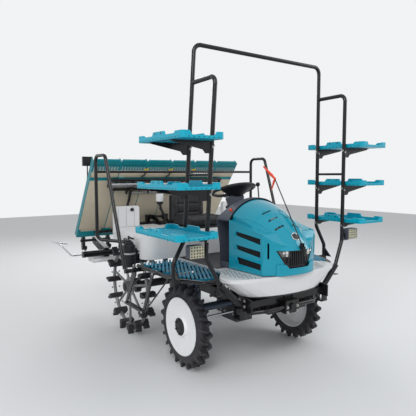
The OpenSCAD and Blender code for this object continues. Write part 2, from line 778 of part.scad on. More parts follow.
// Work lamps on the front uprights: a round-cornered housing with a deep bezel, on a bent strap
module work_lamps() at_axle() color(dark_grey) both_sides() {
    z = 1035;
    x0 = rack_x(z - 50) + rack_tube_d / 2 + elbow_lap + seat_gap;
    y = rack_y(front_top_y, z);
    low = [x0 + 22, z - 38.5];
    high = [x0 + 142, z + 54];
    bezel = 9;
    block([x0, y - 10, z - 50], [x0 + 60, y + 10, z - 38]);
    difference() {
        translate([0, y + 12, 0]) rotate([90, 0, 0]) {
            linear_extrude(52) rounded(low, high, 14);
            translate([0, 0, -14]) linear_extrude(15) rounded(low + [14, 14], high - [14, 14], 10);
        }
        translate([0, y - 30, 0]) rotate([90, 0, 0])
            linear_extrude(12) rounded(low + [bezel, bezel], high - [bezel, bezel], 8);
    }
}

// Hood shell: flat cheeks with the nose round in plan, under a crowned dome
// that ends in a lip over the grille
smooth = 180;
hood_half = hood_w / 2;
hood_rear_y = -195.5;
nose_arc_y = -255;
nose_r = -nose_y - 15 + nose_arc_y;
chin_r = 480;
chin_z = 895;
lip_z = 1000;
lip_r = 460;
dome_r = 812;
dome_cross_r = 346;
dome_axis = [-14, hood_crown_z - sqrt(pow(dome_r, 2) - pow(hood_rear_y + 14, 2))];

// Prism over the hood's length, its plan given as [half width, y] points
module plan_prism(points, low_z, high_z) {
    translate([0, 0, low_z]) linear_extrude(high_z - low_z)
        polygon(concat(points, [for (i = [len(points) - 1 : -1 : 0]) [-points[i][0], points[i][1]]]));
}
module nose_drum(r, low_z, high_z, rear_y) {
    translate([0, nose_arc_y, low_z]) cylinder(r = r, h = high_z - low_z, $fn = smooth);
    block([-hood_w, nose_arc_y, low_z], [hood_w, rear_y, high_z]);
}
module hood_cheeks(inset) {
    rear_y = hood_rear_y + (inset > 0 ? eps : 0);
    foot_z = hood_foot_z - (inset > 0 ? eps : 0);
    intersection() {
        nose_drum(nose_r - inset, foot_z, hood_crown_z, rear_y);
        plan_prism([[hood_half + 22 - inset, rear_y], [hood_half - 3 - inset, -530], [hood_half - 9 - inset, -720]],
                   foot_z, hood_crown_z);
        side_plate(-hood_w, 2 * hood_w, [
            [rear_y, foot_z], [rear_y, 1205 - inset], [-575, 1120 - inset], [-620, 1070 - inset],
            [-720, 983 - inset], [-720, foot_z]
        ]);
    }
}
module dome_ring(inset) {
    translate([0, dome_axis[0], dome_axis[1]]) rotate([0, 90, 0])
        rotate_extrude($fn = smooth)
            translate([dome_r - dome_cross_r, 0]) circle(r = dome_cross_r - inset, $fn = smooth);
}
module hood_dome(inset) {
    rear_y = hood_rear_y + (inset > 0 ? eps : 0);
    intersection() {
        dome_ring(inset);
        nose_drum(lip_r - inset, lip_z + inset, hood_crown_z + 40, rear_y);
        plan_prism([
            [hood_half - 18 - inset, rear_y], [hood_half - 48 - inset, -500], [hood_half - 140 - inset, -680],
            [hood_half - 220 - inset, -722]
        ], lip_z + inset, hood_crown_z + 40);
    }
}
module hood_chin(inset) {
    foot_z = hood_foot_z - (inset > 0 ? eps : 0);
    intersection() {
        translate([0, nose_y + chin_r, foot_z]) cylinder(r = chin_r - inset, h = chin_z - inset - foot_z, $fn = smooth);
        plan_prism([[192 - inset, -560], [192 - inset, -640], [168 - inset, -668], [168 - inset, -720]],
                   hood_foot_z - eps, chin_z);
    }
}
// Opening over the chin, seen from the front as [half width, z]
mouth = [[100, 865], [130, 900], [190, lip_z]];
module mouth_prism(grow, y0, y1) {
    half = concat(mouth + [for (p = mouth) [grow, p == mouth[2] ? grow : -grow]]);
    translate([0, y1, 0]) rotate([90, 0, 0]) linear_extrude(y1 - y0)
        polygon(concat(half, [for (i = [len(half) - 1 : -1 : 0]) [-half[i][0], half[i][1]]]));
}
// Side vents, each as four [y, z] corners
side_vents = [
    [[-279, 1119], [-548, 1087], [-549, 1043], [-282, 1087]],
    [[-282, 1013], [-549, 991], [-550, 944], [-294, 978]],
    [[-292, 918], [-554, 897], [-555, 850], [-310, 865]]
];
module hood() at_axle() color(teal) {
    difference() {
        union() {
            hood_cheeks(0);
            hood_dome(0);
            hood_chin(0);
        }
        hood_cheeks(cover_wall);
        hood_dome(cover_wall);
        hood_chin(cover_wall);
        mouth_prism(0, -760, -560);
        both_sides() {
            for (vent = side_vents) side_plate(hood_half - 60, 120, vent);
            // Slit in the corner behind the headlamp
            translate([0, nose_arc_y, 0]) rotate([0, 0, -55])
                block([nose_r - 30, -7, 940], [nose_r + 30, 7, 1058]);
            for (y = [-400, -475, -549]) block([40, y - 7, 1100], [130, y + 7, hood_crown_z + 40]);
        }
    }
}

// Headlamp window in the grille, seen from the front as [half width, z]
lamp_window = [[90, 997], [176, 997], [146, 952], [90, 952]];
module lamp_prism(grow) {
    translate([0, -560, 0]) rotate([90, 0, 0]) linear_extrude(200)
        polygon([
            lamp_window[0] + [-grow, grow], lamp_window[1] + [2 * grow, grow],
            lamp_window[2] + [2 * grow, -grow], lamp_window[3] + [-grow, -grow]
        ]);
}
module nose_ring(outer, inner, low_z, high_z) {
    translate([0, nose_arc_y, low_z]) difference() {
        cylinder(r = outer, h = high_z - low_z, $fn = smooth);
        translate([0, 0, -eps]) cylinder(r = inner, h = high_z - low_z + 2 * eps, $fn = smooth);
    }
}

// Dark grille behind the opening, curved with the nose, with upright slots between the headlamps
module grille() at_axle() color(black) {
    slot_pitch = 19;
    flange = 10;
    outer = nose_r - cover_wall - seat_gap;
    difference() {
        intersection() {
            nose_ring(outer, outer - 18, mouth[0][1] - flange, lip_z + 8);
            mouth_prism(flange, -760, -500);
        }
        both_sides() lamp_prism(seat_gap);
        for (i = [-4 : 4])
            block([i * slot_pitch - 5, -760, 882], [i * slot_pitch + 5, -500, abs(i) == 4 ? 940 : 986]);
        both_sides() block([100, -760, 905], [110, -500, 940]);
    }
}

// Headlamps let into the grille's two windows
module headlamps() at_axle() color(white) both_sides() {
    intersection() {
        nose_ring(nose_r - 2, nose_r - cover_wall - 16, lamp_window[2][1] - eps, lamp_window[0][1] + eps);
        lamp_prism(0);
    }
}

// Hinge arms behind the hood's chin and the seat of the marker rod on its nose
module hood_brackets() at_axle() color(black) {
    chin_inner_y = nose_y + chin_r - sqrt(pow(chin_r - cover_wall, 2) - pow(hinge_arm_x + hinge_arm_t, 2));
    arm_top_z = mouth[0][1] - 12;
    both_sides()
        difference() {
            side_plate(hinge_arm_x, hinge_arm_t, [
                [chin_inner_y + seat_gap, hood_foot_z + 3], [hood_hinge[0] + 16, hood_foot_z + 3],
                [hood_hinge[0] + 16, hood_hinge[1] + 12], [hood_hinge[0] + 6, arm_top_z],
                [chin_inner_y + seat_gap, arm_top_z]
            ]);
            cross_bar(hinge_arm_x - eps, hinge_arm_x + hinge_arm_t + eps, hood_hinge, hinge_pin_r + run_gap);
        }
    difference() {
        union() {
            block([-14, front_end_y, lip_z + 2], [14, -660, 1028]);
            for (x = [-14, 8]) block([x, marker_hinge[0] - 12, 1027], [x + 6, marker_hinge[0] + 12, 1052]);
        }
        dome_ring(-seat_gap);
    }
}

// Centre marker rod, folded back over the hood
module marker_rod() at_axle() color(orange) {
    pivot = [0, marker_hinge[0], marker_hinge[1]];
    tip = [0, -402, 1535];
    bar(pivot, tip, 9);
    bar(tip, [0, -268, 1632], 12);
    bar(tip, [0, -368, 1450], 10);
    translate(tip) sphere(r = 10);
    cross_bar(-7.5, 7.5, marker_hinge, 8);
}

// Knuckles: the final drive cases that turn about the kingpins
module knuckle() {
    top_z = knuckle_top_z;
    translate([kingpin_x, 0, front_axle_z - 46]) cylinder(r = 44, h = top_z - front_axle_z + 46);
    cross_bar(kingpin_x, front_wheel_x - 66, [0, front_axle_z], 42);
    cross_bar(front_wheel_x - 66, front_wheel_x + 30, [0, front_axle_z], 18);
    translate([kingpin_x - 16, -steer_arm, top_z - 26]) cube([32, steer_arm, 14]);
    translate([kingpin_x, -steer_arm, top_z - 26]) cylinder(r = 20, h = 14);
    translate([kingpin_x, -steer_arm, top_z - 13]) cylinder(r = 7, h = 30);
}
module knuckle_right() at_axle() color(dark_grey) mirror([1, 0, 0]) knuckle();
module knuckle_left() at_axle() color(dark_grey) knuckle();

// Tie rod between the two steering arms
module tie_rod() at_axle() color(steel) {
    z = knuckle_top_z - 11;
    difference() {
        union() {
            for (x = [-kingpin_x, kingpin_x]) translate([x, -steer_arm, z]) cylinder(r = 15, h = 20);
            cross_bar(-kingpin_x + 10, kingpin_x - 10, [-steer_arm, z + 10], 9);
        }
        translate([-kingpin_x, -steer_arm, z - eps]) cylinder(r = 7 + run_gap, h = 22);
        translate([kingpin_x, -steer_arm, z - eps]) cylinder(r = 8, h = 22);
    }
}

// Front wheel disc with its hub, and the lugged tyre round it
module front_rim() {
    translate([front_wheel_x, 0, front_axle_z]) rotate([0, 90, 0])
        rotate_extrude()
            polygon([
                [18 + run_gap, -60], [58, -60], [58, 10], [150, 24], [front_rim_r - 26, 24],
                [front_rim_r - 12, -40], [front_rim_r, -42], [front_rim_r, 42],
                [front_rim_r - 16, 40], [150, 34], [86, 30], [80, 46], [0, 48], [0, 34], [18 + run_gap, 34]
            ]);
}
module front_tyre() {
    half = front_tyre_w / 2;
    base_r = front_tip_r - front_lug_h;
    bead_r = front_rim_r + seat_gap;
    root = front_lug_t / 2 + 5;
    translate([front_wheel_x, 0, front_axle_z]) rotate([0, 90, 0]) {
        rotate_extrude()
            polygon([
                [bead_r, -half + 6], [base_r - 22, -half], [base_r - 4, -half + 10], [base_r, 0],
                [base_r - 4, half - 10], [base_r - 22, half], [bead_r, half - 6]
            ]);
        for (i = [0 : front_lugs - 1])
            rotate([0, 0, (i + 0.5) * 360 / front_lugs])
                translate([0, 0, i % 2 == 0 ? -half : 3]) linear_extrude(half - 3)
                    polygon([
                        [base_r - 14, -root], [front_tip_r, -front_lug_t / 2],
                        [front_tip_r, front_lug_t / 2], [base_r - 14, root]
                    ]);
    }
}
module front_rim_right() at_axle() color(white) mirror([1, 0, 0]) front_rim();
module front_rim_left() at_axle() color(white) front_rim();
module front_tyre_right() at_axle() color(rubber) mirror([1, 0, 0]) front_tyre();
module front_tyre_left() at_axle() color(rubber) front_tyre();

// Rear wheel: a tube hoop on spokes, with rubber paddles clamped round it
hoop_r = rear_tip_r - 62;
module rear_wheel() {
    spokes = rear_paddles / 2;
    translate([rear_wheel_x, wheelbase, rear_axle_z]) rotate([0, 90, 0]) {
        rotate_extrude() translate([hoop_r, 0]) circle(d = hoop_d);
        difference() {
            union() {
                translate([0, 0, -55]) cylinder(r = 55, h = 110);
                translate([0, 0, -8]) cylinder(r = 92, h = 16);
                for (i = [0 : spokes - 1])
                    rotate([0, 0, i * 360 / spokes])
                        translate([50, 0, 0]) rotate([0, 90, 0]) cylinder(r = 12, h = hoop_r - 50);
            }
            translate([0, 0, -56]) cylinder(r = 20 + run_gap, h = 98);
        }
    }
}
module rear_paddles_ring() {
    half = rear_wheel_w / 2;
    root = 9;
    translate([rear_wheel_x, wheelbase, rear_axle_z]) rotate([0, 90, 0])
        for (i = [0 : rear_paddles - 1])
            rotate([0, 0, (i + 0.5) * 360 / rear_paddles])
                difference() {
                    union() {
                        translate([hoop_r - 26, -24, -half]) cube([52, 48, 2 * half]);
                        for (z = [-half, 14])
                            translate([0, 0, z]) linear_extrude(half - 14)
                                polygon([
                                    [hoop_r + 20, -root], [rear_tip_r, -paddle_t / 2],
                                    [rear_tip_r, paddle_t / 2], [hoop_r + 20, root]
                                ]);
                    }
                    rotate([0, 0, -10]) rotate_extrude(angle = 20)
                        translate([hoop_r, 0]) circle(d = hoop_d + 2 * seat_gap);
                }
}
module rear_wheel_right() at_axle() color(steel) mirror([1, 0, 0]) rear_wheel();
module rear_wheel_left() at_axle() color(steel) rear_wheel();
module rear_paddles_right() at_axle() color(rubber) mirror([1, 0, 0]) rear_paddles_ring();
module rear_paddles_left() at_axle() color(rubber) rear_paddles_ring();

// A flat lift link along its own Y, from pin to pin
module link_bar(x, pin, l, wide, t) {
    translate([x - t / 2, pin[0], pin[1]]) rotate([link_angle, 0, 0]) rotate([90, 0, 90])
        difference() {
            union() {
                circle_plate(0, wide, t);
                circle_plate(l, wide, t);
                translate([0, -wide / 2, 0]) cube([l, wide, t]);
            }
            for (y = [0, l])
                translate([y, 0, -eps]) cylinder(r = link_pin_r + run_gap, h = t + 2 * eps);
        }
}
module circle_plate(y, wide, t) {
    translate([y, 0, 0]) cylinder(d = wide, h = t);
}

module lower_links() at_axle() color(black) {
    both_sides() link_bar(lower_link_x, lower_pin, link_l, 56, 16);
    translate([0, lower_pin[0], lower_pin[1]]) rotate([link_angle, 0, 0])
        cross_bar(-lower_link_x, lower_link_x, [link_l * 0.62, 0], 18);
}

module upper_link() at_axle() color(black) {
    both_sides() {
        link_bar(upper_link_x, upper_pin, link_l, 50, 14);
        // Stub pins either side of the cylinder's eye
        cross_bar(20.5, upper_link_x, cylinder_eye, 12);
    }
    translate([0, upper_pin[0], upper_pin[1]]) rotate([link_angle, 0, 0])
        cross_bar(-upper_link_x, upper_link_x, [link_l * 0.72, 0], 15);
}

// Lift cylinder, drawn along its own line from foot to eye
cylinder_v = cylinder_eye - cylinder_foot;
cylinder_l = norm(cylinder_v);
cylinder_a = atan2(cylinder_v[1], cylinder_v[0]);
module on_cylinder() {
    translate([0, cylinder_foot[0], cylinder_foot[1]]) rotate([cylinder_a - 90, 0, 0]) children();
}
barrel_l = 272;
module lift_barrel() at_axle() color(black) on_cylinder()
    difference() {
        union() {
            translate([-25, 0, 0]) rotate([0, 90, 0]) cylinder(r = 22, h = 50);
            cylinder(r = 18, h = 40);
            translate([0, 0, 30]) cylinder(r = 30, h = barrel_l - 30);
        }
        translate([-26, 0, 0]) rotate([0, 90, 0]) cylinder(r = link_pin_r - 2 + run_gap, h = 52);
        translate([0, 0, 42]) cylinder(r = 16, h = barrel_l);
    }

module lift_rod() at_axle() color(steel) on_cylinder() {
    translate([0, 0, 252]) cylinder(r = 15.6, h = cylinder_l - 252 - 15);
    translate([-20, 0, cylinder_l]) rotate([0, 90, 0]) cylinder(r = 24, h = 40);
}

// Mast, cross tube, table rails and arms of the planting unit
function on_table(l, up) = table_top
    + l * [cos(table_slope), -sin(table_slope)]
    + up * [sin(table_slope), cos(table_slope)];
module planter_frame() at_axle() color(black) {
    mast_y = lower_hitch[0] + 12;
    mast_top = upper_hitch[1] + 26;
    arm_bar = [mast_y + 22, upper_hitch[1] - 75];
    upper_rail = on_table(upper_rail_l, -rail_drop);
    lower_rail = on_table(lower_rail_l, -rail_drop);
    cross_bar(-cross_tube_half, cross_tube_half, cross_tube, cross_tube_d / 2);
    both_sides() {
        // Mast posts, with lugs for the links
        block([100, mast_y, cross_tube[1] - 20], [140, mast_y + 45, mast_top]);
        block([100, mast_y + 20, cross_tube[1] - 20], [140, cross_tube[0], cross_tube[1] + 25]);
        side_plate(upper_link_x + 14, 8, [
            [upper_hitch[0] - 20, upper_hitch[1] - 22], [mast_y + 45, upper_hitch[1] - 30],
            [mast_y + 45, mast_top], [upper_hitch[0] - 20, upper_hitch[1] + 22]
        ]);
        side_plate(lower_link_x - 22, 8, [
            [lower_hitch[0] - 20, lower_hitch[1] - 20], [cross_tube[0], cross_tube[1] - 20],
            [cross_tube[0], cross_tube[1] + 20], [lower_hitch[0] - 20, lower_hitch[1] + 22]
        ]);
        cross_bar(lower_link_x - 18, lower_link_x + 14, lower_hitch, link_pin_r);
        // Arms up to the table's upper rail and down to the lower one
        bar([430, arm_bar[0], arm_bar[1]], [430, upper_rail[0] + 4, upper_rail[1] - 4], 28);
        bar([430, cross_tube[0], cross_tube[1]], [430, lower_rail[0], lower_rail[1]], 28);
    }
    cross_bar(-upper_link_x - 18, upper_link_x + 18, upper_hitch, link_pin_r);
    cross_bar(-444, 444, arm_bar, 20);
    cross_bar(-720, 720, upper_rail, table_rail_d / 2);
    cross_bar(-720, 720, lower_rail, table_rail_d / 2);
}

// Planting cases from the cross tube back to the rotor shafts; the line under them as [y, z]
case_line = [cross_tube + [5, -50], rotor_axis + [22, -42]];
function case_under(y) = case_line[0][1]
    + (y - case_line[0][0]) * (case_line[1][1] - case_line[0][1]) / (case_line[1][0] - case_line[0][0]);
module drive_cases() at_axle() color(dark_grey) {
    t = 56;
    for (x = case_xs)
        difference() {
            side_plate(x - t / 2, t, [
                case_line[0], case_line[1],
                [rotor_axis[0] + 44, rotor_axis[1] - 18], [rotor_axis[0] + 44, rotor_axis[1] + 18],
                [rotor_axis[0] + 18, rotor_axis[1] + 40], [rotor_axis[0] - 60, rotor_axis[1] + 30],
                [cross_tube[0] + 5, cross_tube[1] + 50]
            ]);
            cross_bar(x - t, x + t, rotor_axis, 16 + run_gap);
            cross_bar(x - t, x + t, cross_tube, cross_tube_d / 2 + seat_gap);
        }
}

// Floats under the planting unit, one between the rows of each pair
module floats() at_axle() color(white) {
    z0 = 602;
    t = 46;
    front_y = cross_tube[0] - 100;
    post_y = [cross_tube[0] + 90, cross_tube[0] + 130];
    tail_half = 88;
    for (x = case_xs) {
        wide = x == 0 ? 230 : 170;
        difference() {
            translate([x, 0, z0]) linear_extrude(t)
                polygon([
                    [-wide * 0.6, front_y], [wide * 0.6, front_y], [wide, front_y + 40], [wide, front_y + 240],
                    [tail_half, front_y + 280], [tail_half, rear_end_y - 40], [60, rear_end_y],
                    [-60, rear_end_y], [-tail_half, rear_end_y - 40], [-tail_half, front_y + 280],
                    [-wide, front_y + 240], [-wide, front_y + 40]
                ]);
            // Upswept nose
            side_plate(x - wide - eps, 2 * wide + 2 * eps, [
                [front_y - eps, z0 - eps], [front_y + 70, z0 - eps], [front_y - eps, z0 + t - 12]
            ]);
        }
        side_plate(x - 18, 36, [[post_y[0], z0 + t - eps], [post_y[1], z0 + t - eps],
            [post_y[1], case_under(post_y[1]) - seat_gap], [post_y[0], case_under(post_y[0]) - seat_gap]]);
    }
}

// Rod hoops that guard the outer rotors
module side_guards() at_axle() color(steel) both_sides() {
    z = 820;
    y = cross_tube[0];
    bent_tube([
        [cross_tube_half + seat_gap, y, cross_tube[1]], [1000, y, cross_tube[1]],
        [1100, y + 60, z], [1100, y + 380, z], [1000, y + 480, z - 40], [900, y + 480, z - 60]
    ], 16, 40);
}

// Seedling table, drawn in its own plane: Y down the slope, Z towards the seedlings
module on_slope() {
    translate([0, table_top[0], table_top[1]]) rotate([-table_slope, 0, 0]) children();
}
module seedling_table() at_axle() color(teal) on_slope() {
    half = table_w / 2;
    divider_h = 36;
    rib_w = 10;
    lane_slots = 9;
    slot_w = 16;
    slot_pitch = (row_pitch - 36 - slot_w) / (lane_slots - 1);
    strip_r = 14;
    difference() {
        block([-half, 0, -table_t], [half, table_l, 0]);
        for (i = [0 : lanes - 1], k = [0 : lane_slots - 1])
            block([-half + i * row_pitch + 18 + k * slot_pitch, 62, -table_t - eps],
                  [-half + i * row_pitch + 18 + k * slot_pitch + slot_w, 188, eps]);
        for (i = [0 : lanes - 1])
            block([-half + i * row_pitch + belt_edge, belt_l[0], -table_t - eps],
                  [-half + (i + 1) * row_pitch - belt_edge, belt_l[1], eps]);
    }
    for (i = [0 : lanes])
        block([min(half - rib_w, max(-half, -half + i * row_pitch - rib_w / 2)), 0, -eps],
              [min(half, max(-half + rib_w, -half + i * row_pitch + rib_w / 2)), table_l, divider_h]);
    for (i = [0 : lanes - 1])
        cross_bar(-half + i * row_pitch + 20, -half + (i + 1) * row_pitch - 20, [-6, 1 - strip_r], strip_r);
    // Shoes that run on the frame's two rails
    for (l = [upper_rail_l, lower_rail_l])
        for (x = [-560, 560])
            block([x - 30, l - 16, -rail_drop + table_rail_d / 2 + seat_gap], [x + 30, l + 16, -table_t + eps]);
}

// Feed belts in the table's lanes
module table_belts() at_axle() color(beige) on_slope() {
    half = table_w / 2;
    for (i = [0 : lanes - 1])
        block([-half + i * row_pitch + belt_edge + seat_gap, belt_l[0] + seat_gap, -26],
              [-half + (i + 1) * row_pitch - belt_edge - seat_gap, belt_l[1] - seat_gap, 4]);
}

// Small lamp on a stalk at the table's right edge
module rear_lamp() at_axle() color(black) on_slope() {
    translate([-table_w / 2 + 6, 250, 36 + seat_gap]) {
        block([-6, -12, 0], [8, 12, 10]);
        translate([0, 0, 4]) rotate([table_slope, 0, 0]) {
            cylinder(r = 6, h = 120);
            translate([-50, -22, 120]) cube([100, 34, 96]);
        }
    }
}

// Planting rotor: a shaft with an oval case and two claw arms at each end
module rotor(x) {
    tine_l = claw_sweep_r - 115;
    cross_bar(x - row_pitch / 2 - 30, x + row_pitch / 2 + 30, rotor_axis, 16);
    for (side = [-1, 1])
        translate([x + side * row_pitch / 2, rotor_axis[0], rotor_axis[1]]) rotate([0, 90, 0]) {
            translate([0, 0, -16]) {
                cylinder(r = 36, h = 32);
                translate([-84, -26, 0]) cube([168, 52, 32]);
                for (e = [-84, 84]) translate([e, 0, 0]) cylinder(r = 26, h = 32);
            }
            for (turn = [0, 180])
                rotate([0, 0, turn]) {
                    translate([84, 0, 14]) cylinder(r = 20, h = 26);
                    // Planting arm, and the two tines of its claw
                    translate([0, 0, 18]) linear_extrude(20)
                        polygon([[64, -12], [84, -20], [104, -14], [122, 8], [116, 22], [96, 20], [70, 12]]);
                    for (z = [19, 33]) translate([106, 8, z]) rotate([0, 0, 20]) cube([tine_l, 7, 4]);
                }
        }
}
module rotor_right() at_axle() color(dark_grey) rotor(case_xs[0]);
module rotor_middle() at_axle() color(dark_grey) rotor(case_xs[1]);
module rotor_left() at_axle() color(dark_grey) rotor(case_xs[2]);

main_frame();
front_bumper();
engine();
gearbox();
front_axle();
rear_axle();
front_fairing();
floor_deck();
side_steps();
boarding_steps();
rear_fenders();
seat_cushion();
seat_back();
canister();
dash();
steering_column();
levers();
rear_handrails();
rack_arch();
rack_ladders();
tray_brackets();
spare_trays();
work_lamps();
hood();
grille();
headlamps();
hood_brackets();
marker_rod();
steering_wheel();
knuckle_right();
knuckle_left();
tie_rod();
front_rim_right();
front_rim_left();
front_tyre_right();
front_tyre_left();
rear_wheel_right();
rear_wheel_left();
rear_paddles_right();
rear_paddles_left();
lower_links();
upper_link();
lift_barrel();
lift_rod();
planter_frame();
drive_cases();
floats();
side_guards();
seedling_table();
table_belts();
rear_lamp();
rotor_right();
rotor_middle();
rotor_left();
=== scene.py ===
"""Looks of a six-row riding rice transplanter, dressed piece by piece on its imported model.

Metres, with X to the machine's left, Y to its rear and Z up from the floor.
"""
from math import cos, exp, pi, radians, sin

import bmesh
import bpy
from mathutils import Matrix, Vector


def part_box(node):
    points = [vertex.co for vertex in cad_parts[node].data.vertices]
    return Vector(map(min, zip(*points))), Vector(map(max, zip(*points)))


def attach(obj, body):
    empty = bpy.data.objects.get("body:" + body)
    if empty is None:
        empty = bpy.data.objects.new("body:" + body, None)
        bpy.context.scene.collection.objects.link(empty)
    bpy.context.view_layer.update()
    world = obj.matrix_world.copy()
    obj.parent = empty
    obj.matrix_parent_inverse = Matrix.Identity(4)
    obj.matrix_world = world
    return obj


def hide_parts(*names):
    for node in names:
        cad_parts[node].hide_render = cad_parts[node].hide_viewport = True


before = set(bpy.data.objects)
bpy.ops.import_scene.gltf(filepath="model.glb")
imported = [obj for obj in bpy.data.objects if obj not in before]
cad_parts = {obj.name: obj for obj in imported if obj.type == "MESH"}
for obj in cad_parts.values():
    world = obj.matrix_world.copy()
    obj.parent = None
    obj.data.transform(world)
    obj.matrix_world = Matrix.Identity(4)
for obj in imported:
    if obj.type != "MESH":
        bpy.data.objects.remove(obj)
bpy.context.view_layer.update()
scene = bpy.context.scene

# Camera, light and floor
# The camera stands to the right of the machine's nose at a standing person's eye height,
# where the photograph was taken. Three soft lamps and a pale room light the machine.
EYE = Vector((-2.4315, -3.7569, 1.5655))
EYE_TURN, EYE_DOWN, EYE_ROLL = radians(34.213), radians(4.273), radians(-0.187)
SENSOR = 36.0
FRAME_PX, FOCAL_PX = 416, 441.43
LAMPS_AIM = Vector((0, 0, 0.9))
LAMPS = (
    # name, place, power, width
    ("key", (-4.2, -4.6, 5.0), 210.0, 3.4),
    ("fill", (4.8, -3.0, 3.6), 90.0, 3.0),
    ("back", (1.5, 5.2, 4.6), 120.0, 3.0),
)
ROOM_COLOUR = (0.93, 0.94, 0.95, 1)
ROOM_LIGHT, ROOM_SEEN = 0.62, 0.95
FLOOR_COLOUR = (0.72, 0.73, 0.74, 1)
FLOOR_ROUGHNESS = 0.85
FLOOR_REACH = 14.0

lens = bpy.data.cameras.new("eye")
lens.sensor_width = SENSOR
lens.lens = SENSOR * FOCAL_PX / FRAME_PX
eye = bpy.data.objects.new("eye", lens)
eye.matrix_world = (
    Matrix.Translation(EYE)
    @ Matrix.Rotation(-EYE_TURN, 4, "Z")
    @ Matrix.Rotation(pi / 2 - EYE_DOWN, 4, "X")
    @ Matrix.Rotation(EYE_ROLL, 4, "Z")
)
scene.collection.objects.link(eye)
scene.camera = eye
scene.view_settings.view_transform = "Standard"

for name, stand, power, width in LAMPS:
    lamp = bpy.data.lights.new(name, "AREA")
    lamp.energy = power
    lamp.size = width
    holder = bpy.data.objects.new(name, lamp)
    aim = (LAMPS_AIM - Vector(stand)).to_track_quat("-Z", "Y").to_matrix().to_4x4()
    holder.matrix_world = Matrix.Translation(stand) @ aim
    scene.collection.objects.link(holder)

# The room lights the machine evenly, and looks nearly white to the eye, in gloss and through
# clear parts
room = bpy.data.worlds.new("room")
room.use_nodes = True
nodes, links = room.node_tree.nodes, room.node_tree.links
paths = nodes.new("ShaderNodeLightPath")
strength = nodes.new("ShaderNodeMapRange")
strength.inputs["To Min"].default_value = ROOM_LIGHT
strength.inputs["To Max"].default_value = ROOM_SEEN
seen = paths.outputs["Is Camera Ray"]
for ray in ("Is Transmission Ray", "Is Glossy Ray"):
    either = nodes.new("ShaderNodeMath")
    either.operation = "MAXIMUM"
    links.new(seen, either.inputs[0])
    links.new(paths.outputs[ray], either.inputs[1])
    seen = either.outputs[0]
links.new(seen, strength.inputs["Value"])
links.new(strength.outputs["Result"], nodes["Background"].inputs["Strength"])
nodes["Background"].inputs["Color"].default_value = ROOM_COLOUR
scene.world = room

sheet = bmesh.new()
bmesh.ops.create_grid(sheet, x_segments=1, y_segments=1, size=FLOOR_REACH)
ground = bpy.data.meshes.new("floor")
sheet.to_mesh(ground)
sheet.free()
floor = bpy.data.objects.new("floor", ground)
scene.collection.objects.link(floor)
pale = bpy.data.materials.new("pale_floor")
pale.use_nodes = True
pale.node_tree.nodes["Principled BSDF"].inputs["Base Color"].default_value = FLOOR_COLOUR
pale.node_tree.nodes["Principled BSDF"].inputs["Roughness"].default_value = FLOOR_ROUGHNESS
ground.materials.append(pale)

# Frame, bumper and tubular racks
# Welded steel rails, outriggers and bent tubes in gloss black paint. The paint pools a
# little, so its shade and gloss drift slowly and its skin has a fine orange peel.
COLOUR, VALUE = "NodeSocketColor", "NodeSocketFloat"
WHITE = (1, 1, 1, 1)
DUST_COLOUR = (0.23, 0.215, 0.19, 1)
DUST_PATCHES, DUST_DETAIL = 9.0, 6.0
NOISE_SPREAD = (0.3, 0.7)
COAT_ROUGHNESS = 0.08


def effect(name, takes, gives):
    """A new shader group with its sockets, its input node and its output node."""
    tree = bpy.data.node_groups.new(name, "ShaderNodeTree")
    for label, kind, value in takes:
        socket = tree.interface.new_socket(name=label, in_out="INPUT", socket_type=kind)
        socket.default_value = value
    for label, kind in gives:
        tree.interface.new_socket(name=label, in_out="OUTPUT", socket_type=kind)
    return tree, tree.nodes.new("NodeGroupInput"), tree.nodes.new("NodeGroupOutput")


def put(tree, value, socket):
    """Links a socket, or sets a number or colour, on a node's input."""
    if isinstance(value, bpy.types.NodeSocket):
        tree.links.new(value, socket)
    else:
        socket.default_value = value


def cloud(tree, scale_from, detail):
    """Noise on Object coordinates whose scale comes from a group's input."""
    place = tree.nodes.new("ShaderNodeTexCoord")
    noise = tree.nodes.new("ShaderNodeTexNoise")
    put(tree, detail, noise.inputs["Detail"])
    put(tree, place.outputs["Object"], noise.inputs["Vector"])
    put(tree, scale_from, noise.inputs["Scale"])
    return noise.outputs["Fac"]


def around(tree, source, low, high):
    """Stretches a noise from its usual spread to low..high."""
    spread = tree.nodes.new("ShaderNodeMapRange")
    put(tree, source, spread.inputs["Value"])
    for label, value in zip(("From Min", "From Max", "To Min", "To Max"), (*NOISE_SPREAD, low, high)):
        put(tree, value, spread.inputs[label])
    return spread.outputs["Result"]


def worked(tree, operation, a, b):
    """A Math node on two sockets or numbers."""
    node = tree.nodes.new("ShaderNodeMath")
    node.operation = operation
    put(tree, a, node.inputs[0])
    put(tree, b, node.inputs[1])
    return node.outputs[0]


# Slow drift of a colour over the surface, as light wear and handling leave it
drift, start, end = effect(
    "shade_drift",
    [("Colour", COLOUR, WHITE), ("Spread", VALUE, 0.1), ("Scale", VALUE, 3.0)],
    [("Colour", COLOUR)],
)
tint = drift.nodes.new("ShaderNodeHueSaturation")
low = worked(drift, "SUBTRACT", 1.0, start.outputs["Spread"])
high = worked(drift, "ADD", 1.0, start.outputs["Spread"])
put(drift, start.outputs["Colour"], tint.inputs["Color"])
put(drift, around(drift, cloud(drift, start.outputs["Scale"], 4.0), low, high), tint.inputs["Value"])
put(drift, tint.outputs["Color"], end.inputs["Colour"])

# Dull and shiny places
sheen_drift, start, end = effect(
    "gloss_drift",
    [("Roughness", VALUE, 0.4), ("Spread", VALUE, 0.1), ("Scale", VALUE, 6.0)],
    [("Roughness", VALUE)],
)
low = worked(sheen_drift, "SUBTRACT", start.outputs["Roughness"], start.outputs["Spread"])
high = worked(sheen_drift, "ADD", start.outputs["Roughness"], start.outputs["Spread"])
places = cloud(sheen_drift, start.outputs["Scale"], 5.0)
put(sheen_drift, around(sheen_drift, places, low, high), end.inputs["Roughness"])

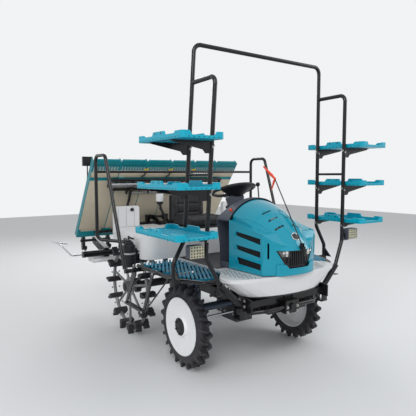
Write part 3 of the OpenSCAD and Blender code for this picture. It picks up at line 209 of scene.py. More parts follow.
# Fine skin of paint, moulding or casting
skin, start, end = effect("skin", [("Scale", VALUE, 300.0)], [("Height", VALUE)])
put(skin, cloud(skin, start.outputs["Scale"], 2.0), end.inputs["Height"])

# Dust that thickens towards the floor
dust, start, end = effect(
    "low_dust",
    [("Colour", COLOUR, WHITE), ("Top", VALUE, 0.6), ("Amount", VALUE, 0.4)],
    [("Colour", COLOUR)],
)
place = dust.nodes.new("ShaderNodeTexCoord")
parts = dust.nodes.new("ShaderNodeSeparateXYZ")
fade = dust.nodes.new("ShaderNodeMapRange")
dusted = dust.nodes.new("ShaderNodeMix")
dusted.data_type = "RGBA"
put(dust, place.outputs["Object"], parts.inputs["Vector"])
put(dust, parts.outputs["Z"], fade.inputs["Value"])
put(dust, start.outputs["Top"], fade.inputs["From Min"])
put(dust, 0.0, fade.inputs["From Max"])
put(dust, start.outputs["Colour"], dusted.inputs["A"])
put(dust, DUST_COLOUR, dusted.inputs["B"])
amount = worked(dust, "MULTIPLY", fade.outputs["Result"], start.outputs["Amount"])
patches = worked(dust, "MULTIPLY", amount, cloud(dust, DUST_PATCHES, DUST_DETAIL))
put(dust, patches, dusted.inputs["Factor"])
put(dust, dusted.outputs["Result"], end.inputs["Colour"])


def use(tree, group, feeds):
    """Places a group in a material with its inputs set or linked; gives its first output."""
    node = tree.nodes.new("ShaderNodeGroup")
    node.node_tree = group
    for label, value in feeds.items():
        put(tree, value, node.inputs[label])
    return node.outputs[0]


def finish(name, colour, roughness, metallic=0.0, coat=0.0, tone=(0.06, 3.0), gloss=(0.05, 7.0),
           grain=(300.0, 0.15, 0.0004), dusty=0.0, dust_top=0.7, edge=0.0015, shine=0.3):
    """A painted, moulded, cast or bare surface.

    tone and gloss are (spread, scale) and grain is (scale, strength, depth). dusty is how much
    dust lies on it below dust_top, and edge is the radius its sharp edges catch the light with.
    """
    made = bpy.data.materials.new(name)
    made.use_nodes = True
    tree = made.node_tree
    sockets = tree.nodes["Principled BSDF"].inputs
    put(tree, metallic, sockets["Metallic"])
    put(tree, coat, sockets["Coat Weight"])
    put(tree, shine, sockets["Specular IOR Level"])
    put(tree, COAT_ROUGHNESS, sockets["Coat Roughness"])
    base = use(tree, drift, {"Colour": (*colour, 1), "Spread": tone[0], "Scale": tone[1]})
    if dusty:
        base = use(tree, dust, {"Colour": base, "Top": dust_top, "Amount": dusty})
    put(tree, base, sockets["Base Color"])
    dull = use(tree, sheen_drift, {"Roughness": roughness, "Spread": gloss[0], "Scale": gloss[1]})
    put(tree, dull, sockets["Roughness"])
    bump = tree.nodes.new("ShaderNodeBump")
    put(tree, grain[1], bump.inputs["Strength"])
    put(tree, grain[2], bump.inputs["Distance"])
    put(tree, use(tree, skin, {"Scale": grain[0]}), bump.inputs["Height"])
    if edge:
        rounding = tree.nodes.new("ShaderNodeBevel")
        rounding.samples = 4
        put(tree, edge, rounding.inputs["Radius"])
        put(tree, rounding.outputs["Normal"], bump.inputs["Normal"])
    put(tree, bump.outputs["Normal"], sockets["Normal"])
    return made


def dress(made, *names):
    """Gives CAD nodes a finish."""
    for name in names:
        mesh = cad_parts[name].data
        mesh.materials.clear()
        mesh.materials.append(made)


def rod(bm, base, tip, radius, segments=16, tip_radius=None):
    """A closed round bar or taper between two points."""
    axis = Vector(tip) - Vector(base)
    turn = axis.to_track_quat("Z", "Y").to_matrix().to_4x4()
    middle = (Vector(base) + Vector(tip)) / 2
    bmesh.ops.create_cone(
        bm, cap_ends=True, segments=segments, radius1=radius,
        radius2=radius if tip_radius is None else tip_radius,
        depth=axis.length, matrix=Matrix.Translation(middle) @ turn,
    )


def slab(bm, low, high, edge=0.0, segments=2):
    """A box from corner to corner with rounded edges."""
    low, high = Vector(low), Vector(high)
    verts = bmesh.ops.create_cube(
        bm, size=1.0, matrix=Matrix.Translation((low + high) / 2) @ Matrix.Diagonal((*(high - low), 1.0))
    )["verts"]
    if edge:
        rims = list({e for v in verts for e in v.link_edges})
        bmesh.ops.bevel(bm, geom=rims, offset=edge, offset_type="OFFSET", segments=segments, profile=0.5,
                        affect="EDGES", material=-1, clamp_overlap=True)


def bolt(bm, seat, out, across=0.016, tall=0.008):
    """A hex head on a washer, standing out of a surface."""
    seat, out = Vector(seat), Vector(out).normalized()
    rod(bm, seat - out * 0.001, seat + out * 0.002, across * 0.72, 16)
    rod(bm, seat + out * 0.0015, seat + out * tall, across / 2, 6, across * 0.46)


def mirrored(bm):
    """Adds the same on the machine's other side."""
    copied = bmesh.ops.duplicate(bm, geom=bm.verts[:] + bm.edges[:] + bm.faces[:])["geom"]
    bmesh.ops.scale(bm, vec=(-1, 1, 1), verts=[g for g in copied if isinstance(g, bmesh.types.BMVert)])
    return bm


def piece(name, bm, made, body, stands_for=(), crease=35.0):
    """A finished mesh as a piece that rides on a body, smooth but for its sharp edges."""
    bmesh.ops.recalc_face_normals(bm, faces=bm.faces)
    for face in bm.faces:
        face.smooth = True
    for edge in bm.edges:
        edge.smooth = edge.is_manifold and edge.calc_face_angle(0.0) < radians(crease)
    mesh = bpy.data.meshes.new(name)
    bm.to_mesh(mesh)
    bm.free()
    mesh.materials.append(made)
    made_piece = bpy.data.objects.new(name, mesh)
    scene.collection.objects.link(made_piece)
    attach(made_piece, body)
    if stands_for:
        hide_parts(*stands_for)


FRONT_Y = sum(corner.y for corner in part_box("front_rim_right")) / 2 * 1000


def at(x, y, z):
    """A place in metres, from millimetres measured along the machine from its front axle."""
    return Vector((x, y + FRONT_Y, z)) / 1000


black_paint = finish("gloss_black_paint", (0.006, 0.006, 0.0075), 0.26, coat=0.2,
                     grain=(160.0, 0.08, 0.0006), dusty=0.12)
dress(black_paint, "main_frame", "front_bumper", "hood_brackets", "boarding_steps", "rear_handrails",
      "rack_arch", "rack_ladders", "tray_brackets")

# The ladders' tubes lean outwards and to the rear as they come down from the arch's height
ARCH_Z, LADDER_X, LADDER_YS = 2517, 662, (-252, -547)
RACK_FLARE, RACK_RAKE, RACK_TUBE_R = 0.041, 0.039, 15
TRAY_TIERS, TRAY_FOOT_Z, TRAY_PITCH = 3, 1145, 326
CLAMP_UNDER_TRAY, CLAMP_BOLT_DROP = 26, 14


def ladder(top_y, z):
    """Where the left ladder's tube stands at a height: its x and y in millimetres."""
    return LADDER_X + (ARCH_Z - z) * RACK_FLARE, top_y + (ARCH_Z - z) * RACK_RAKE


# Zinc-plated bolts of the tray brackets, and then of the frame, each with its place, the way
# it points, its width across the flats and its height
AHEAD, OUTWARD = (0, -1, 0), (1, 0, 0)
FRAME_BOLTS = (
    [((52, -614, z), AHEAD, 0.018, 0.010) for z in (505, 545)]
    + [((424, y, z), OUTWARD, 0.017, 0.009) for z in (600, 640) for y in (-545, -490)]
    + [((734.3, y, z), OUTWARD, 0.013, 0.007) for z in (908, 952) for y in (862, 910)]
    + [((867, y, 427), OUTWARD, 0.014, 0.008) for y in (265, 605)]
    + [((850, 440, 790), OUTWARD, 0.016, 0.008), ((850, 92, 778), OUTWARD, 0.014, 0.008)]
)
zinc = finish("zinc_plate", (0.48, 0.48, 0.47), 0.32, metallic=0.9, grain=(400.0, 0.1, 0.0002), edge=0.0)
bm = bmesh.new()
for tier in range(TRAY_TIERS):
    clamp_z = TRAY_FOOT_Z + TRAY_PITCH * tier - CLAMP_UNDER_TRAY
    for top_y in LADDER_YS:
        x, y = ladder(top_y, clamp_z)
        bolt(bm, at(x - RACK_TUBE_R, y, clamp_z), (-1, 0, 0), 0.014)
        bolt(bm, at(x, y - RACK_TUBE_R, clamp_z - CLAMP_BOLT_DROP), AHEAD, 0.012)
for seat, out, across, tall in FRAME_BOLTS:
    bolt(bm, at(*seat), out, across, tall)
piece("frame_bolts", mirrored(bm), zinc, "chassis")

# Sockets and plates that gather at the rack's foot, pressed steel under the same black paint
GUSSETS = (
    # one corner, the other corner, rounding
    ((404, -552, 505), (470, -546, 590), 0.002),
    ((404, -478, 505), (470, -472, 590), 0.002),
    ((402, -552, 500), (474, -472, 508), 0.002),
    ((590, -528, 700), (640, -496, 706), 0.001),
)
bm = bmesh.new()
for low, high, edge in GUSSETS:
    slab(bm, at(*low), at(*high), edge)
piece("rack_foot_gussets", mirrored(bm), black_paint, "chassis")


# Engine, gear case and axles
# The engine is a plain block under the hood. The transmission and the axle cases are cast
# alloy and iron. The kingpin housings have a bluish metallic paint.
cast_grey = finish("painted_casting", (0.016, 0.017, 0.02), 0.42, coat=0.1,
                   grain=(120.0, 0.35, 0.0012), dusty=0.15)
kingpin_blue = finish("kingpin_paint", (0.05, 0.068, 0.10), 0.33, metallic=0.5, coat=0.2,
                      grain=(140.0, 0.2, 0.0008), dusty=0.15)
alloy = finish("die_cast_alloy", (0.055, 0.058, 0.066), 0.42, metallic=0.6,
               grain=(180.0, 0.3, 0.0008), dusty=0.2)
dress(cast_grey, "engine", "rear_axle", "rotor_right", "rotor_middle", "rotor_left", "drive_cases")
dress(kingpin_blue, "front_axle", "knuckle_right", "knuckle_left")
dress(alloy, "gearbox")


def bolt_ring(bm, centre, radius, count, out, across, tall, first=0.0):
    """Bolts in a ring on a flange that faces along X or Z, the first one turned by an angle."""
    first_way = Vector((0, 1, 0)) if out[0] else Vector((1, 0, 0))
    second_way = Vector((0, 0, 1)) if out[0] else Vector((0, 1, 0))
    for k in range(count):
        turn = first + k * 2 * pi / count
        bolt(bm, centre + (first_way * cos(turn) + second_way * sin(turn)) * radius, out, across, tall)


CASE_SIDE_X, CASE_BOLT_YS, CASE_BOLT_ZS = 110, (-50, 0, 60, 120, 180, 230), (450, 345)
bm = bmesh.new()
bolt_ring(bm, at(500, 0, 632.5), 0.037, 8, (0, 0, 1), 0.010, 0.006)
for y in CASE_BOLT_YS:
    for z in CASE_BOLT_ZS:
        bolt(bm, at(CASE_SIDE_X, y, z), OUTWARD, 0.014)
bolt_ring(bm, at(558, 1042, 451.4), 0.062, 6, OUTWARD, 0.012, 0.006)
piece("case_bolts", mirrored(bm), zinc, "chassis")

# Cooling ribs of the gear case
bm = bmesh.new()
for z in range(360, 450, 18):
    slab(bm, at(CASE_SIDE_X - 1, -60, z), at(CASE_SIDE_X + 6, 240, z + 5), 0.001)
piece("gear_case_ribs", mirrored(bm), alloy, "chassis")


# Steering links
# The tie rod is bright drawn steel with an eye at each end. The lift cylinder's rod and the
# planting unit's guard hoops have the same finish.
bright_steel = finish("bright_steel", (0.52, 0.53, 0.55), 0.28, metallic=1.0, tone=(0.05, 8.0),
                      grain=(400.0, 0.1, 0.0003))
dress(bright_steel, "tie_rod", "lift_rod", "side_guards")


# Front wheels
# Pressed steel discs in gloss white with a black hub cap on a ring of nuts, and solid paddy
# tyres whose deep lugs stand in two staggered rows.
rim_white = finish("gloss_white_disc", (0.92, 0.925, 0.935), 0.3, coat=0.25,
                   grain=(140.0, 0.06, 0.0006), dusty=0.08, dust_top=0.5)
rubber = finish("lug_rubber", (0.021, 0.021, 0.027), 0.55, tone=(0.25, 9.0), gloss=(0.1, 12.0),
                grain=(260.0, 0.5, 0.0012), dusty=0.22, dust_top=0.6, edge=0.003)
dark_plastic = finish("dark_plastic", (0.014, 0.0145, 0.017), 0.42, grain=(420.0, 0.35, 0.0007))
dress(rim_white, "front_rim_right", "front_rim_left")
dress(rubber, "front_tyre_right", "front_tyre_left", "rear_paddles_right", "rear_paddles_left")
SIDES = (("right", -1), ("left", 1))
DISC_OUT = 0.048
HUB_CAP = [(0.0, 0.0105), (0.020, 0.0105), (0.026, 0.0085), (0.034, 0.008), (0.040, 0.004),
           (0.072, 0.0025), (0.080, -0.001), (0.083, -0.006), (0.083, -0.012), (0.0, -0.012)]
LUGS, LUG_TALL, LUG_SUNK = 22, 0.036, 0.030
LUG_ROW, LUG_HALF_W, LUG_HALF_L = 0.024, 0.0255, 0.017
LUG_FOOT, LUG_TAPER, LUG_DRAW, LUG_SLANT = 1.25, 0.62, 0.004, 0.35
LUG_INSIDE = 0.0004


def turned(bm, outline, centre, axis, steps=48, side=(1, 0, 0)):
    """A turned form: its outline is (distance from the axis, distance along it) pairs, and
    starts on a side of the axis."""
    axis, side = Vector(axis).normalized(), Vector(side).normalized()
    verts = [bm.verts.new(Vector(centre) + side * r + axis * along) for r, along in outline]
    edges = [bm.edges.new(pair) for pair in zip(verts, verts[1:])]
    bmesh.ops.spin(bm, geom=verts + edges, cent=centre, axis=axis, angle=2 * pi, steps=steps, use_merge=True)
    bmesh.ops.remove_doubles(bm, verts=bm.verts[:], dist=0.00002)


def merge(bm, extra):
    """Adds another bmesh to this one and frees it."""
    mesh = bpy.data.meshes.new("part")
    extra.to_mesh(mesh)
    extra.free()
    bm.from_mesh(mesh)
    bpy.data.meshes.remove(mesh)


def lug_row(row, middle, tread_r, tip_r):
    """One row of lugs, on the tyre's -X side for row -1 and its +X side for row 1."""
    lug = bmesh.new()
    slab(lug, (row * LUG_ROW - LUG_HALF_W, -LUG_HALF_L, tread_r - LUG_SUNK),
         (row * LUG_ROW + LUG_HALF_W, LUG_HALF_L, tip_r - LUG_INSIDE), 0.005, 2)
    for v in lug.verts:
        rise = (v.co.z - tread_r + LUG_SUNK) / (tip_r - tread_r + LUG_SUNK)
        v.co.y *= LUG_FOOT - LUG_TAPER * rise
        v.co.x -= row * LUG_DRAW * rise
        v.co.y += row * (v.co.x - row * LUG_ROW) * LUG_SLANT
        reach = (v.co.y ** 2 + v.co.z ** 2) ** 0.5
        if reach > tip_r - LUG_INSIDE:
            v.co.z -= reach - tip_r + LUG_INSIDE
    stagger = Matrix.Rotation((row + 1) / 2 * pi / LUGS, 3, "X")
    bmesh.ops.rotate(lug, cent=(0, 0, 0), verts=lug.verts[:], matrix=stagger)
    bmesh.ops.translate(lug, vec=middle, verts=lug.verts[:])
    one = lug.verts[:] + lug.edges[:] + lug.faces[:]
    bmesh.ops.spin(lug, geom=one, cent=middle, axis=(1, 0, 0), angle=2 * pi * (LUGS - 1) / LUGS,
                   steps=LUGS - 1, use_duplicate=True)
    return lug


for side_name, side in SIDES:
    wheel = f"front_wheel_{side_name}"
    low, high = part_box(f"front_rim_{side_name}")
    middle = (low + high) / 2
    face_x = middle.x + side * DISC_OUT
    bm = bmesh.new()
    turned(bm, HUB_CAP, (face_x + side * 0.002, middle.y, middle.z), (side, 0, 0), side=(0, 1, 0))
    piece(f"hub_cap_{side_name}", bm, dark_plastic, wheel, crease=28)
    bm = bmesh.new()
    nuts_at = Vector((face_x + side * 0.0042, middle.y, middle.z))
    bolt_ring(bm, nuts_at, 0.056, 6, (side, 0, 0), 0.017, 0.012, first=pi / 6)
    piece(f"wheel_nuts_{side_name}", bm, cast_grey, wheel)

    # The carcass is turned with a bead ring outside the disc
    tyre_low, tyre_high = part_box(f"front_tyre_{side_name}")
    tip_r = middle.z - tyre_low.z
    tread_r = tip_r - LUG_TALL
    half_w = (tyre_high.x - tyre_low.x) / 2
    bead_r = (high.z - low.z) / 2 + 0.0003
    shoulder = [(bead_r, half_w - 0.007), (bead_r + 0.008, half_w - 0.001), (bead_r + 0.014, half_w - 0.001),
                (bead_r + 0.018, half_w - 0.005), (tread_r - 0.026, half_w - 0.003),
                (tread_r - 0.012, half_w - 0.006), (tread_r, half_w - 0.020)]
    section = shoulder + [(r, -along) for r, along in shoulder[::-1]] + [shoulder[0]]
    bm = bmesh.new()
    turned(bm, section, middle, (1, 0, 0), 72, (0, 1, 0))
    for row in (-1, 1):
        merge(bm, lug_row(row, middle, tread_r, tip_r))
    piece(f"lugged_tyre_{side_name}", bm, rubber, wheel,
          stands_for=(f"front_tyre_{side_name}",), crease=40)


# Rear wheels
# Open wheels of bent steel tube with rubber paddles, for soft mud. A dark cap covers each
# hub, and a pair of bolts clamps each paddle to the hoop.
wheel_grey = finish("wheel_tube_paint", (0.19, 0.20, 0.21), 0.38, metallic=0.55, coat=0.2,
                    grain=(160.0, 0.12, 0.0006), dusty=0.7, dust_top=0.9)
dress(wheel_grey, "rear_wheel_right", "rear_wheel_left")
REAR_HUB_CAP = [(0.0, 0.012), (0.022, 0.012), (0.030, 0.006), (0.044, 0.004), (0.050, -0.003), (0.0, -0.003)]
PADDLES, PADDLE_BOLT_R, PADDLE_BOLT_OUT = 14, 0.372, 0.040
for side_name, side in SIDES:
    wheel = f"rear_wheel_{side_name}"
    low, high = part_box(wheel)
    middle = (low + high) / 2
    bm = bmesh.new()
    cap_at = (middle.x + side * 0.055, middle.y, middle.z)
    turned(bm, REAR_HUB_CAP, cap_at, (side, 0, 0), 40, (0, 1, 0))
    piece(f"rear_hub_cap_{side_name}", bm, dark_plastic, wheel, crease=28)
    bm = bmesh.new()
    bolt_ring(bm, middle + Vector((side * 0.008, 0, 0)), 0.074, 6, (side, 0, 0), 0.016, 0.010)
    for k in range(PADDLES):
        turn = (k + 0.5) * 2 * pi / PADDLES
        radial = Vector((0, cos(turn), sin(turn)))
        for flank in (-1, 1):
            seat = middle + radial * PADDLE_BOLT_R + Vector((flank * PADDLE_BOLT_OUT, 0, 0))
            bolt(bm, seat, -radial, 0.012, 0.007)
    piece(f"rear_wheel_bolts_{side_name}", bm, zinc, wheel)


# Platform
# A white moulded fairing with raised grey lozenges runs round the nose, a dark ribbed floor
# fills the middle, and treads of slanting teal slats flank it.
white_shell = finish("white_moulding", (0.70, 0.705, 0.715), 0.34, coat=0.15, tone=(0.03, 2.0),
                     grain=(220.0, 0.12, 0.0005), edge=0.003)
floor_grey = finish("textured_floor", (0.045, 0.046, 0.05), 0.62, grain=(240.0, 0.8, 0.0012),
                    dusty=0.2, dust_top=1.2)
step_teal = finish("tread_teal", (0.002, 0.20, 0.33), 0.36, coat=0.1, tone=(0.08, 4.0),
                   grain=(260.0, 0.2, 0.0006))
lozenge_grey = finish("lozenge_grey", (0.27, 0.31, 0.34), 0.42, grain=(260.0, 0.2, 0.0005))
dress(white_shell, "front_fairing", "rear_fenders")
dress(floor_grey, "floor_deck")
fairing_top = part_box("front_fairing")[1].z * 1000

# Lozenges are short rounded bars, turned one way and the other along each row. The rows
# shorten from NARROWS_Y forwards, and start nearer the middle ahead of the hood.
LOZENGE_HALF_L, LOZENGE_HALF_W, LOZENGE_TALL = 0.013, 0.0052, 0.0026
LOZENGE_ROWS, LOZENGES_ACROSS, LOZENGE_PITCH, LOZENGE_LEAN = 12, 7, 32, radians(45)
REARMOST_Y, NARROWS_Y, HOOD_FRONT_Y = -236, -440, -560
LOZENGE_REACH, REACH_FALL, BESIDE_HOOD_X, AHEAD_OF_HOOD_X = 468, 0.62, 332, 239
bm = bmesh.new()
for row in range(LOZENGE_ROWS):
    y = REARMOST_Y - row * LOZENGE_PITCH
    reach = LOZENGE_REACH - max(0.0, NARROWS_Y - y) * REACH_FALL
    inner = BESIDE_HOOD_X if y > HOOD_FRONT_Y else AHEAD_OF_HOOD_X
    for place in range(LOZENGES_ACROSS):
        x = inner + place * LOZENGE_PITCH + row % 2 * LOZENGE_PITCH / 2
        if x < reach:
            lean = LOZENGE_LEAN if (row + place) % 2 else -LOZENGE_LEAN
            slab(bm, (-LOZENGE_HALF_L, -LOZENGE_HALF_W, 0), (LOZENGE_HALF_L, LOZENGE_HALF_W, LOZENGE_TALL),
                 0.0014, 1)
            fresh = [v for v in bm.verts if v.co.length < 0.02]
            bmesh.ops.rotate(bm, cent=(0, 0, 0), matrix=Matrix.Rotation(lean, 3, "Z"), verts=fresh)
            bmesh.ops.translate(bm, vec=at(x, y, fairing_top - 0.4), verts=fresh)
piece("fairing_lozenges", mirrored(bm), lozenge_grey, "chassis")


def tube(points, radius, sides=10):
    """A bent round bar along points, as a closed mesh."""
    path = bpy.data.curves.new("path", "CURVE")
    path.dimensions = "3D"
    path.bevel_depth = radius
    path.bevel_resolution = sides // 2 - 2
    path.use_fill_caps = True
    run = path.splines.new("POLY")
    run.points.add(len(points) - 1)
    for spot, place in zip(run.points, points):
        spot.co = (*place, 1)
    holder = bpy.data.objects.new("path", path)
    mesh = bpy.data.meshes.new_from_object(holder)
    bm = bmesh.new()
    bm.from_mesh(mesh)
    bmesh.ops.remove_doubles(bm, verts=bm.verts[:], dist=0.00002)
    bpy.data.objects.remove(holder)
    bpy.data.curves.remove(path)
    bpy.data.meshes.remove(mesh)
    return bm


# A dark strip along the fairing's foot, and a raised lip along its rim: corner points
# (x, y) on each side, and for the lip an arc round the nose between them
FOOT_Z = 659
FOOT = [(362, -414), (400, -452), (400, -490), (378, -533), (308, -583), (219, -620), (110, -643), (0, -650)]
foot_line = [at(x, y, FOOT_Z) for x, y in FOOT] + [at(-x, y, FOOT_Z) for x, y in FOOT[-2::-1]]
piece("fairing_foot_strip", tube(foot_line, 0.007), dark_plastic, "chassis", crease=60)
LIP = [(542, -403), (556, -428), (560, -452), (556, -480), (542, -508), (517, -537)]
NOSE_R, NOSE_MID_Y, NOSE_HALF_TURN, NOSE_STEPS = 1494, 842, 20.3, 20
nose_turns = [radians(NOSE_HALF_TURN * (1 - 2 * k / NOSE_STEPS)) for k in range(NOSE_STEPS + 1)]
lip_line = [at(x, y, fairing_top) for x, y in LIP]
lip_line += [at(NOSE_R * sin(turn), NOSE_MID_Y - NOSE_R * cos(turn), fairing_top) for turn in nose_turns]
lip_line += [at(-x, y, fairing_top) for x, y in LIP[::-1]]
piece("fairing_lip", tube(lip_line, 0.0045, 8), white_shell, "chassis", crease=60)

# Floor mat ribs
MAT_RIBS, MAT_PITCH, MAT_X = 23, 32, -352
MAT_FRONT_Y, MAT_REAR_Y, MAT_Z, RIB_TALL, RIB_HALF_W = 30, 446, 801, 2.5, 4
bm = bmesh.new()
for k in range(MAT_RIBS):
    x = MAT_X + MAT_PITCH * k
    slab(bm, at(x - RIB_HALF_W, MAT_FRONT_Y, MAT_Z), at(x + RIB_HALF_W, MAT_REAR_Y, MAT_Z + RIB_TALL),
         0.001, 1)
piece("floor_ribs", bm, floor_grey, "chassis")

# Treads: slanting slats on cross bars, cut off just inside the tread's edge
TREAD_EDGE = [(402, 466), (776, 466), (776, -176), (664, -376), (530, -376), (402, -220)]
SLAT_LEAN, SLAT_PITCH, SLATS_EACH_WAY, SLATS_SHORT = radians(28), 0.031, 16, 0.010
SLAT_HALF_W, SLAT_HALF_L, SLAT_DEEP = 0.0085, 0.60, 0.014
CROSS_BARS = (
    # y, inner end, outer end
    (-300, 490, 696.56),
    (-120, 410, 766),
    (60, 410, 766),
    (240, 410, 766),
    (400, 410, 766),
)
tread_low, tread_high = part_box("side_steps")
tread_top = tread_high.z
slats = bmesh.new()
for k in range(-SLATS_EACH_WAY, SLATS_EACH_WAY + 1):
    x = k * SLAT_PITCH
    slab(slats, (x - SLAT_HALF_W, -SLAT_HALF_L, tread_top - SLAT_DEEP),
         (x + SLAT_HALF_W, SLAT_HALF_L, tread_top - 0.0004), 0.002, 1)
bmesh.ops.rotate(slats, cent=(0, 0, 0), matrix=Matrix.Rotation(SLAT_LEAN, 3, "Z"), verts=slats.verts[:])
bmesh.ops.translate(slats, vec=at(590, 60, 0), verts=slats.verts[:])
for (x0, y0), (x1, y1) in zip(TREAD_EDGE, TREAD_EDGE[1:] + TREAD_EDGE[:1]):
    out = Vector((y0 - y1, x1 - x0, 0)).normalized()
    bmesh.ops.bisect_plane(slats, geom=slats.verts[:] + slats.edges[:] + slats.faces[:],
                           plane_co=at(x0, y0, 0) - out * SLATS_SHORT, plane_no=out, clear_outer=True)
    bmesh.ops.holes_fill(slats, edges=[e for e in slats.edges if e.is_boundary])
for y, inner, outer in CROSS_BARS:
    slab(slats, at(inner, y, tread_low.z * 1000 + 2), at(outer, y + 14, tread_top * 1000 - 13), 0.001, 1)
piece("side_treads", mirrored(slats), step_teal, "chassis", stands_for=("side_steps",))
# A bright steel strip along each tread's outer edge, a painted highlight of the light on the black edge tube
tread_highlight_line = [at(x, y, 771) for x, y in ((779, 466), (779, -177), (666, -379), (534, -379))]
piece("tread_edge_highlight_strip", mirrored(tube(tread_highlight_line, 0.006)), bright_steel, "chassis", crease=60)


# Seat
# A black vinyl cushion and backrest over foam, sewn into panels, on a pressed black pan.
# Each is blown up from a slightly smaller block and held to its shape.
vinyl = finish("black_vinyl", (0.018, 0.018, 0.02), 0.5, tone=(0.12, 5.0), gloss=(0.08, 14.0),
               grain=(520.0, 0.55, 0.0009), edge=0.0)
VOXEL, SWELL_CAP, SWELL_STEPS = 0.007, 0.013, 20
PRESSURE, TENSION = 4.0, 12.0
CUSHION_DISH, CUSHION_ROLL, CUSHION_SEAMS, CUSHION_PANEL = 0.016, 0.014, (-0.45, 0.0, 0.45), 0.66
BACK_DISH, BACK_ROLL, BACK_SEAMS, BACK_PANEL, BACK_TAPER = 0.014, 0.012, (-0.35, 0.25), 0.62, 0.10


def upholstered(name, low, high, shape, stands_for):
    """A foam block under vinyl, swollen as cloth and then moved by shape(place, middle, half)."""
    bm = bmesh.new()
    slab(bm, low, high, edge=0.028, segments=3)
    mesh = bpy.data.meshes.new(name)
    bm.to_mesh(mesh)
    bm.free()
    pad = bpy.data.objects.new(name, mesh)
    scene.collection.objects.link(pad)
    voxels = pad.modifiers.new("voxels", "REMESH")
    voxels.mode = "VOXEL"
    voxels.voxel_size = VOXEL
    pad.data = bpy.data.meshes.new_from_object(pad.evaluated_get(bpy.context.evaluated_depsgraph_get()))
    pad.modifiers.clear()
    places = [v.co.copy() for v in pad.data.vertices]
    cloth = pad.modifiers.new("vinyl", "CLOTH")
    cloth.settings.use_pressure = True
    cloth.settings.uniform_pressure_force = PRESSURE
    cloth.settings.tension_stiffness = TENSION
    cloth.settings.effector_weights.gravity = 0.0
    cloth.point_cache.frame_start = 1
    cloth.point_cache.frame_end = SWELL_STEPS
    for step in range(1, SWELL_STEPS + 1):
        scene.frame_set(step)
    swollen = bpy.data.meshes.new_from_object(pad.evaluated_get(bpy.context.evaluated_depsgraph_get()))
    pad.modifiers.clear()
    for place, new in zip(places, swollen.vertices):
        moved = new.co - place
        if moved.length > SWELL_CAP:
            moved *= SWELL_CAP / moved.length
        place += moved
    middle = (Vector(low) + Vector(high)) / 2
    half = (Vector(high) - Vector(low)) / 2
    for vert, place in zip(pad.data.vertices, places):
        vert.co = shape(place, middle, half)
    for face in pad.data.polygons:
        face.use_smooth = True
    finer = pad.modifiers.new("finer", "SUBSURF")
    finer.levels = finer.render_levels = 1
    pad.data.materials.clear()
    pad.data.materials.append(vinyl)
    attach(pad, "chassis")
    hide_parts(stands_for)


def seam(distance, width=0.006, depth=0.006):
    """How deep a sewn line draws the vinyl in at a distance from it."""
    return depth * exp(-((distance / width) ** 2))


def cushion_shape(place, middle, half):
    """A dished seat with raised sides, a front that rolls down and three sewn channels."""
    side = (place.x - middle.x) / half.x
    along = (place.y - middle.y) / half.y
    up = (place.z - middle.z) / half.z
    new = place.copy()
    if up > 0:
        dish = CUSHION_DISH * (1 - min(1.0, abs(side)) ** 3)
        new.z -= up * (dish + CUSHION_ROLL * max(0.0, -along - 0.5))
        for line in CUSHION_SEAMS:
            if abs(side) < CUSHION_PANEL:
                new.z -= up * seam((along - line) * half.y)
        new.z -= up * seam((abs(side) - CUSHION_PANEL) * half.x)
    return new


def back_shape(place, middle, half):
    """A backrest thin at its top, with wings and two sewn channels."""
    side = (place.x - middle.x) / half.x
    up = (place.z - middle.z) / half.z
    ahead = (middle.y - place.y) / half.y
    new = place.copy()
    new.x = middle.x + (place.x - middle.x) * (1 - BACK_TAPER * max(0.0, up) ** 2)
    if ahead > 0:
        dish = BACK_DISH * (1 - min(1.0, abs(side)) ** 2)
        new.y += ahead * (dish + BACK_ROLL * max(0.0, up))
        for line in BACK_SEAMS:
            if abs(side) < BACK_PANEL:
                new.y += ahead * seam((up - line) * half.z)
        new.y += ahead * seam((abs(side) - BACK_PANEL) * half.x)
    return new


seat_low, seat_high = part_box("seat_cushion")
back_low, back_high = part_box("seat_back")
inward = Vector((0.010, 0.010, 0.008))
upholstered("seat_cushion_pad", seat_low + inward, seat_high - inward, cushion_shape, "seat_cushion")
upholstered("seat_back_pad", back_low + inward, back_high - inward, back_shape, "seat_back")

# The pan under the cushion, the plate behind the backrest and the two straps that join them
PAN_INSET, PAN_TALL, STRAP_X, STRAP_HALF_W = 0.004, 0.016, 0.12, 0.02
bm = bmesh.new()
slab(bm, (seat_low.x + PAN_INSET, seat_low.y + PAN_INSET, seat_low.z),
     (seat_high.x - PAN_INSET, seat_high.y - PAN_INSET, seat_low.z + PAN_TALL), 0.006)
slab(bm, (back_low.x + 0.02, back_high.y - 0.012, back_low.z - 0.010),
     (back_high.x - 0.02, back_high.y - 0.001, back_high.z - 0.03), 0.004)
for x in (-STRAP_X, STRAP_X):
    slab(bm, (x - STRAP_HALF_W, back_high.y - 0.010, seat_low.z + 0.001),
         (x + STRAP_HALF_W, back_high.y, back_low.z + 0.10), 0.002)
piece("seat_pan", bm, dark_plastic, "chassis")


# Rear body
# The console and fenders are one white moulding, with a black knob and part lines on each
# side. It carries a vapour canister in its band and a small white reservoir on a stand.
KNOB = [(0.0, 0.022), (0.011, 0.022), (0.014, 0.019), (0.0145, 0.004), (0.018, 0.001), (0.018, -0.001),
        (0.0, -0.001)]
PANEL_Y, PART_LINE_X = 1010, (575, 660, 744)
bm = bmesh.new()
turned(bm, KNOB, at(600, PANEL_Y, 1226), AHEAD, 28)
for x in PART_LINE_X:
    slab(bm, at(x, PANEL_Y - 0.8, 1064), at(x + 1.6, PANEL_Y + 0.4, 1252))
slab(bm, at(520, PANEL_Y - 0.8, 1058), at(780, PANEL_Y + 0.4, 1060))
slab(bm, at(270, 471.2, 830), at(271.6, 472.4, 1036))
piece("panel_knobs_and_lines", mirrored(bm), dark_plastic, "chassis")

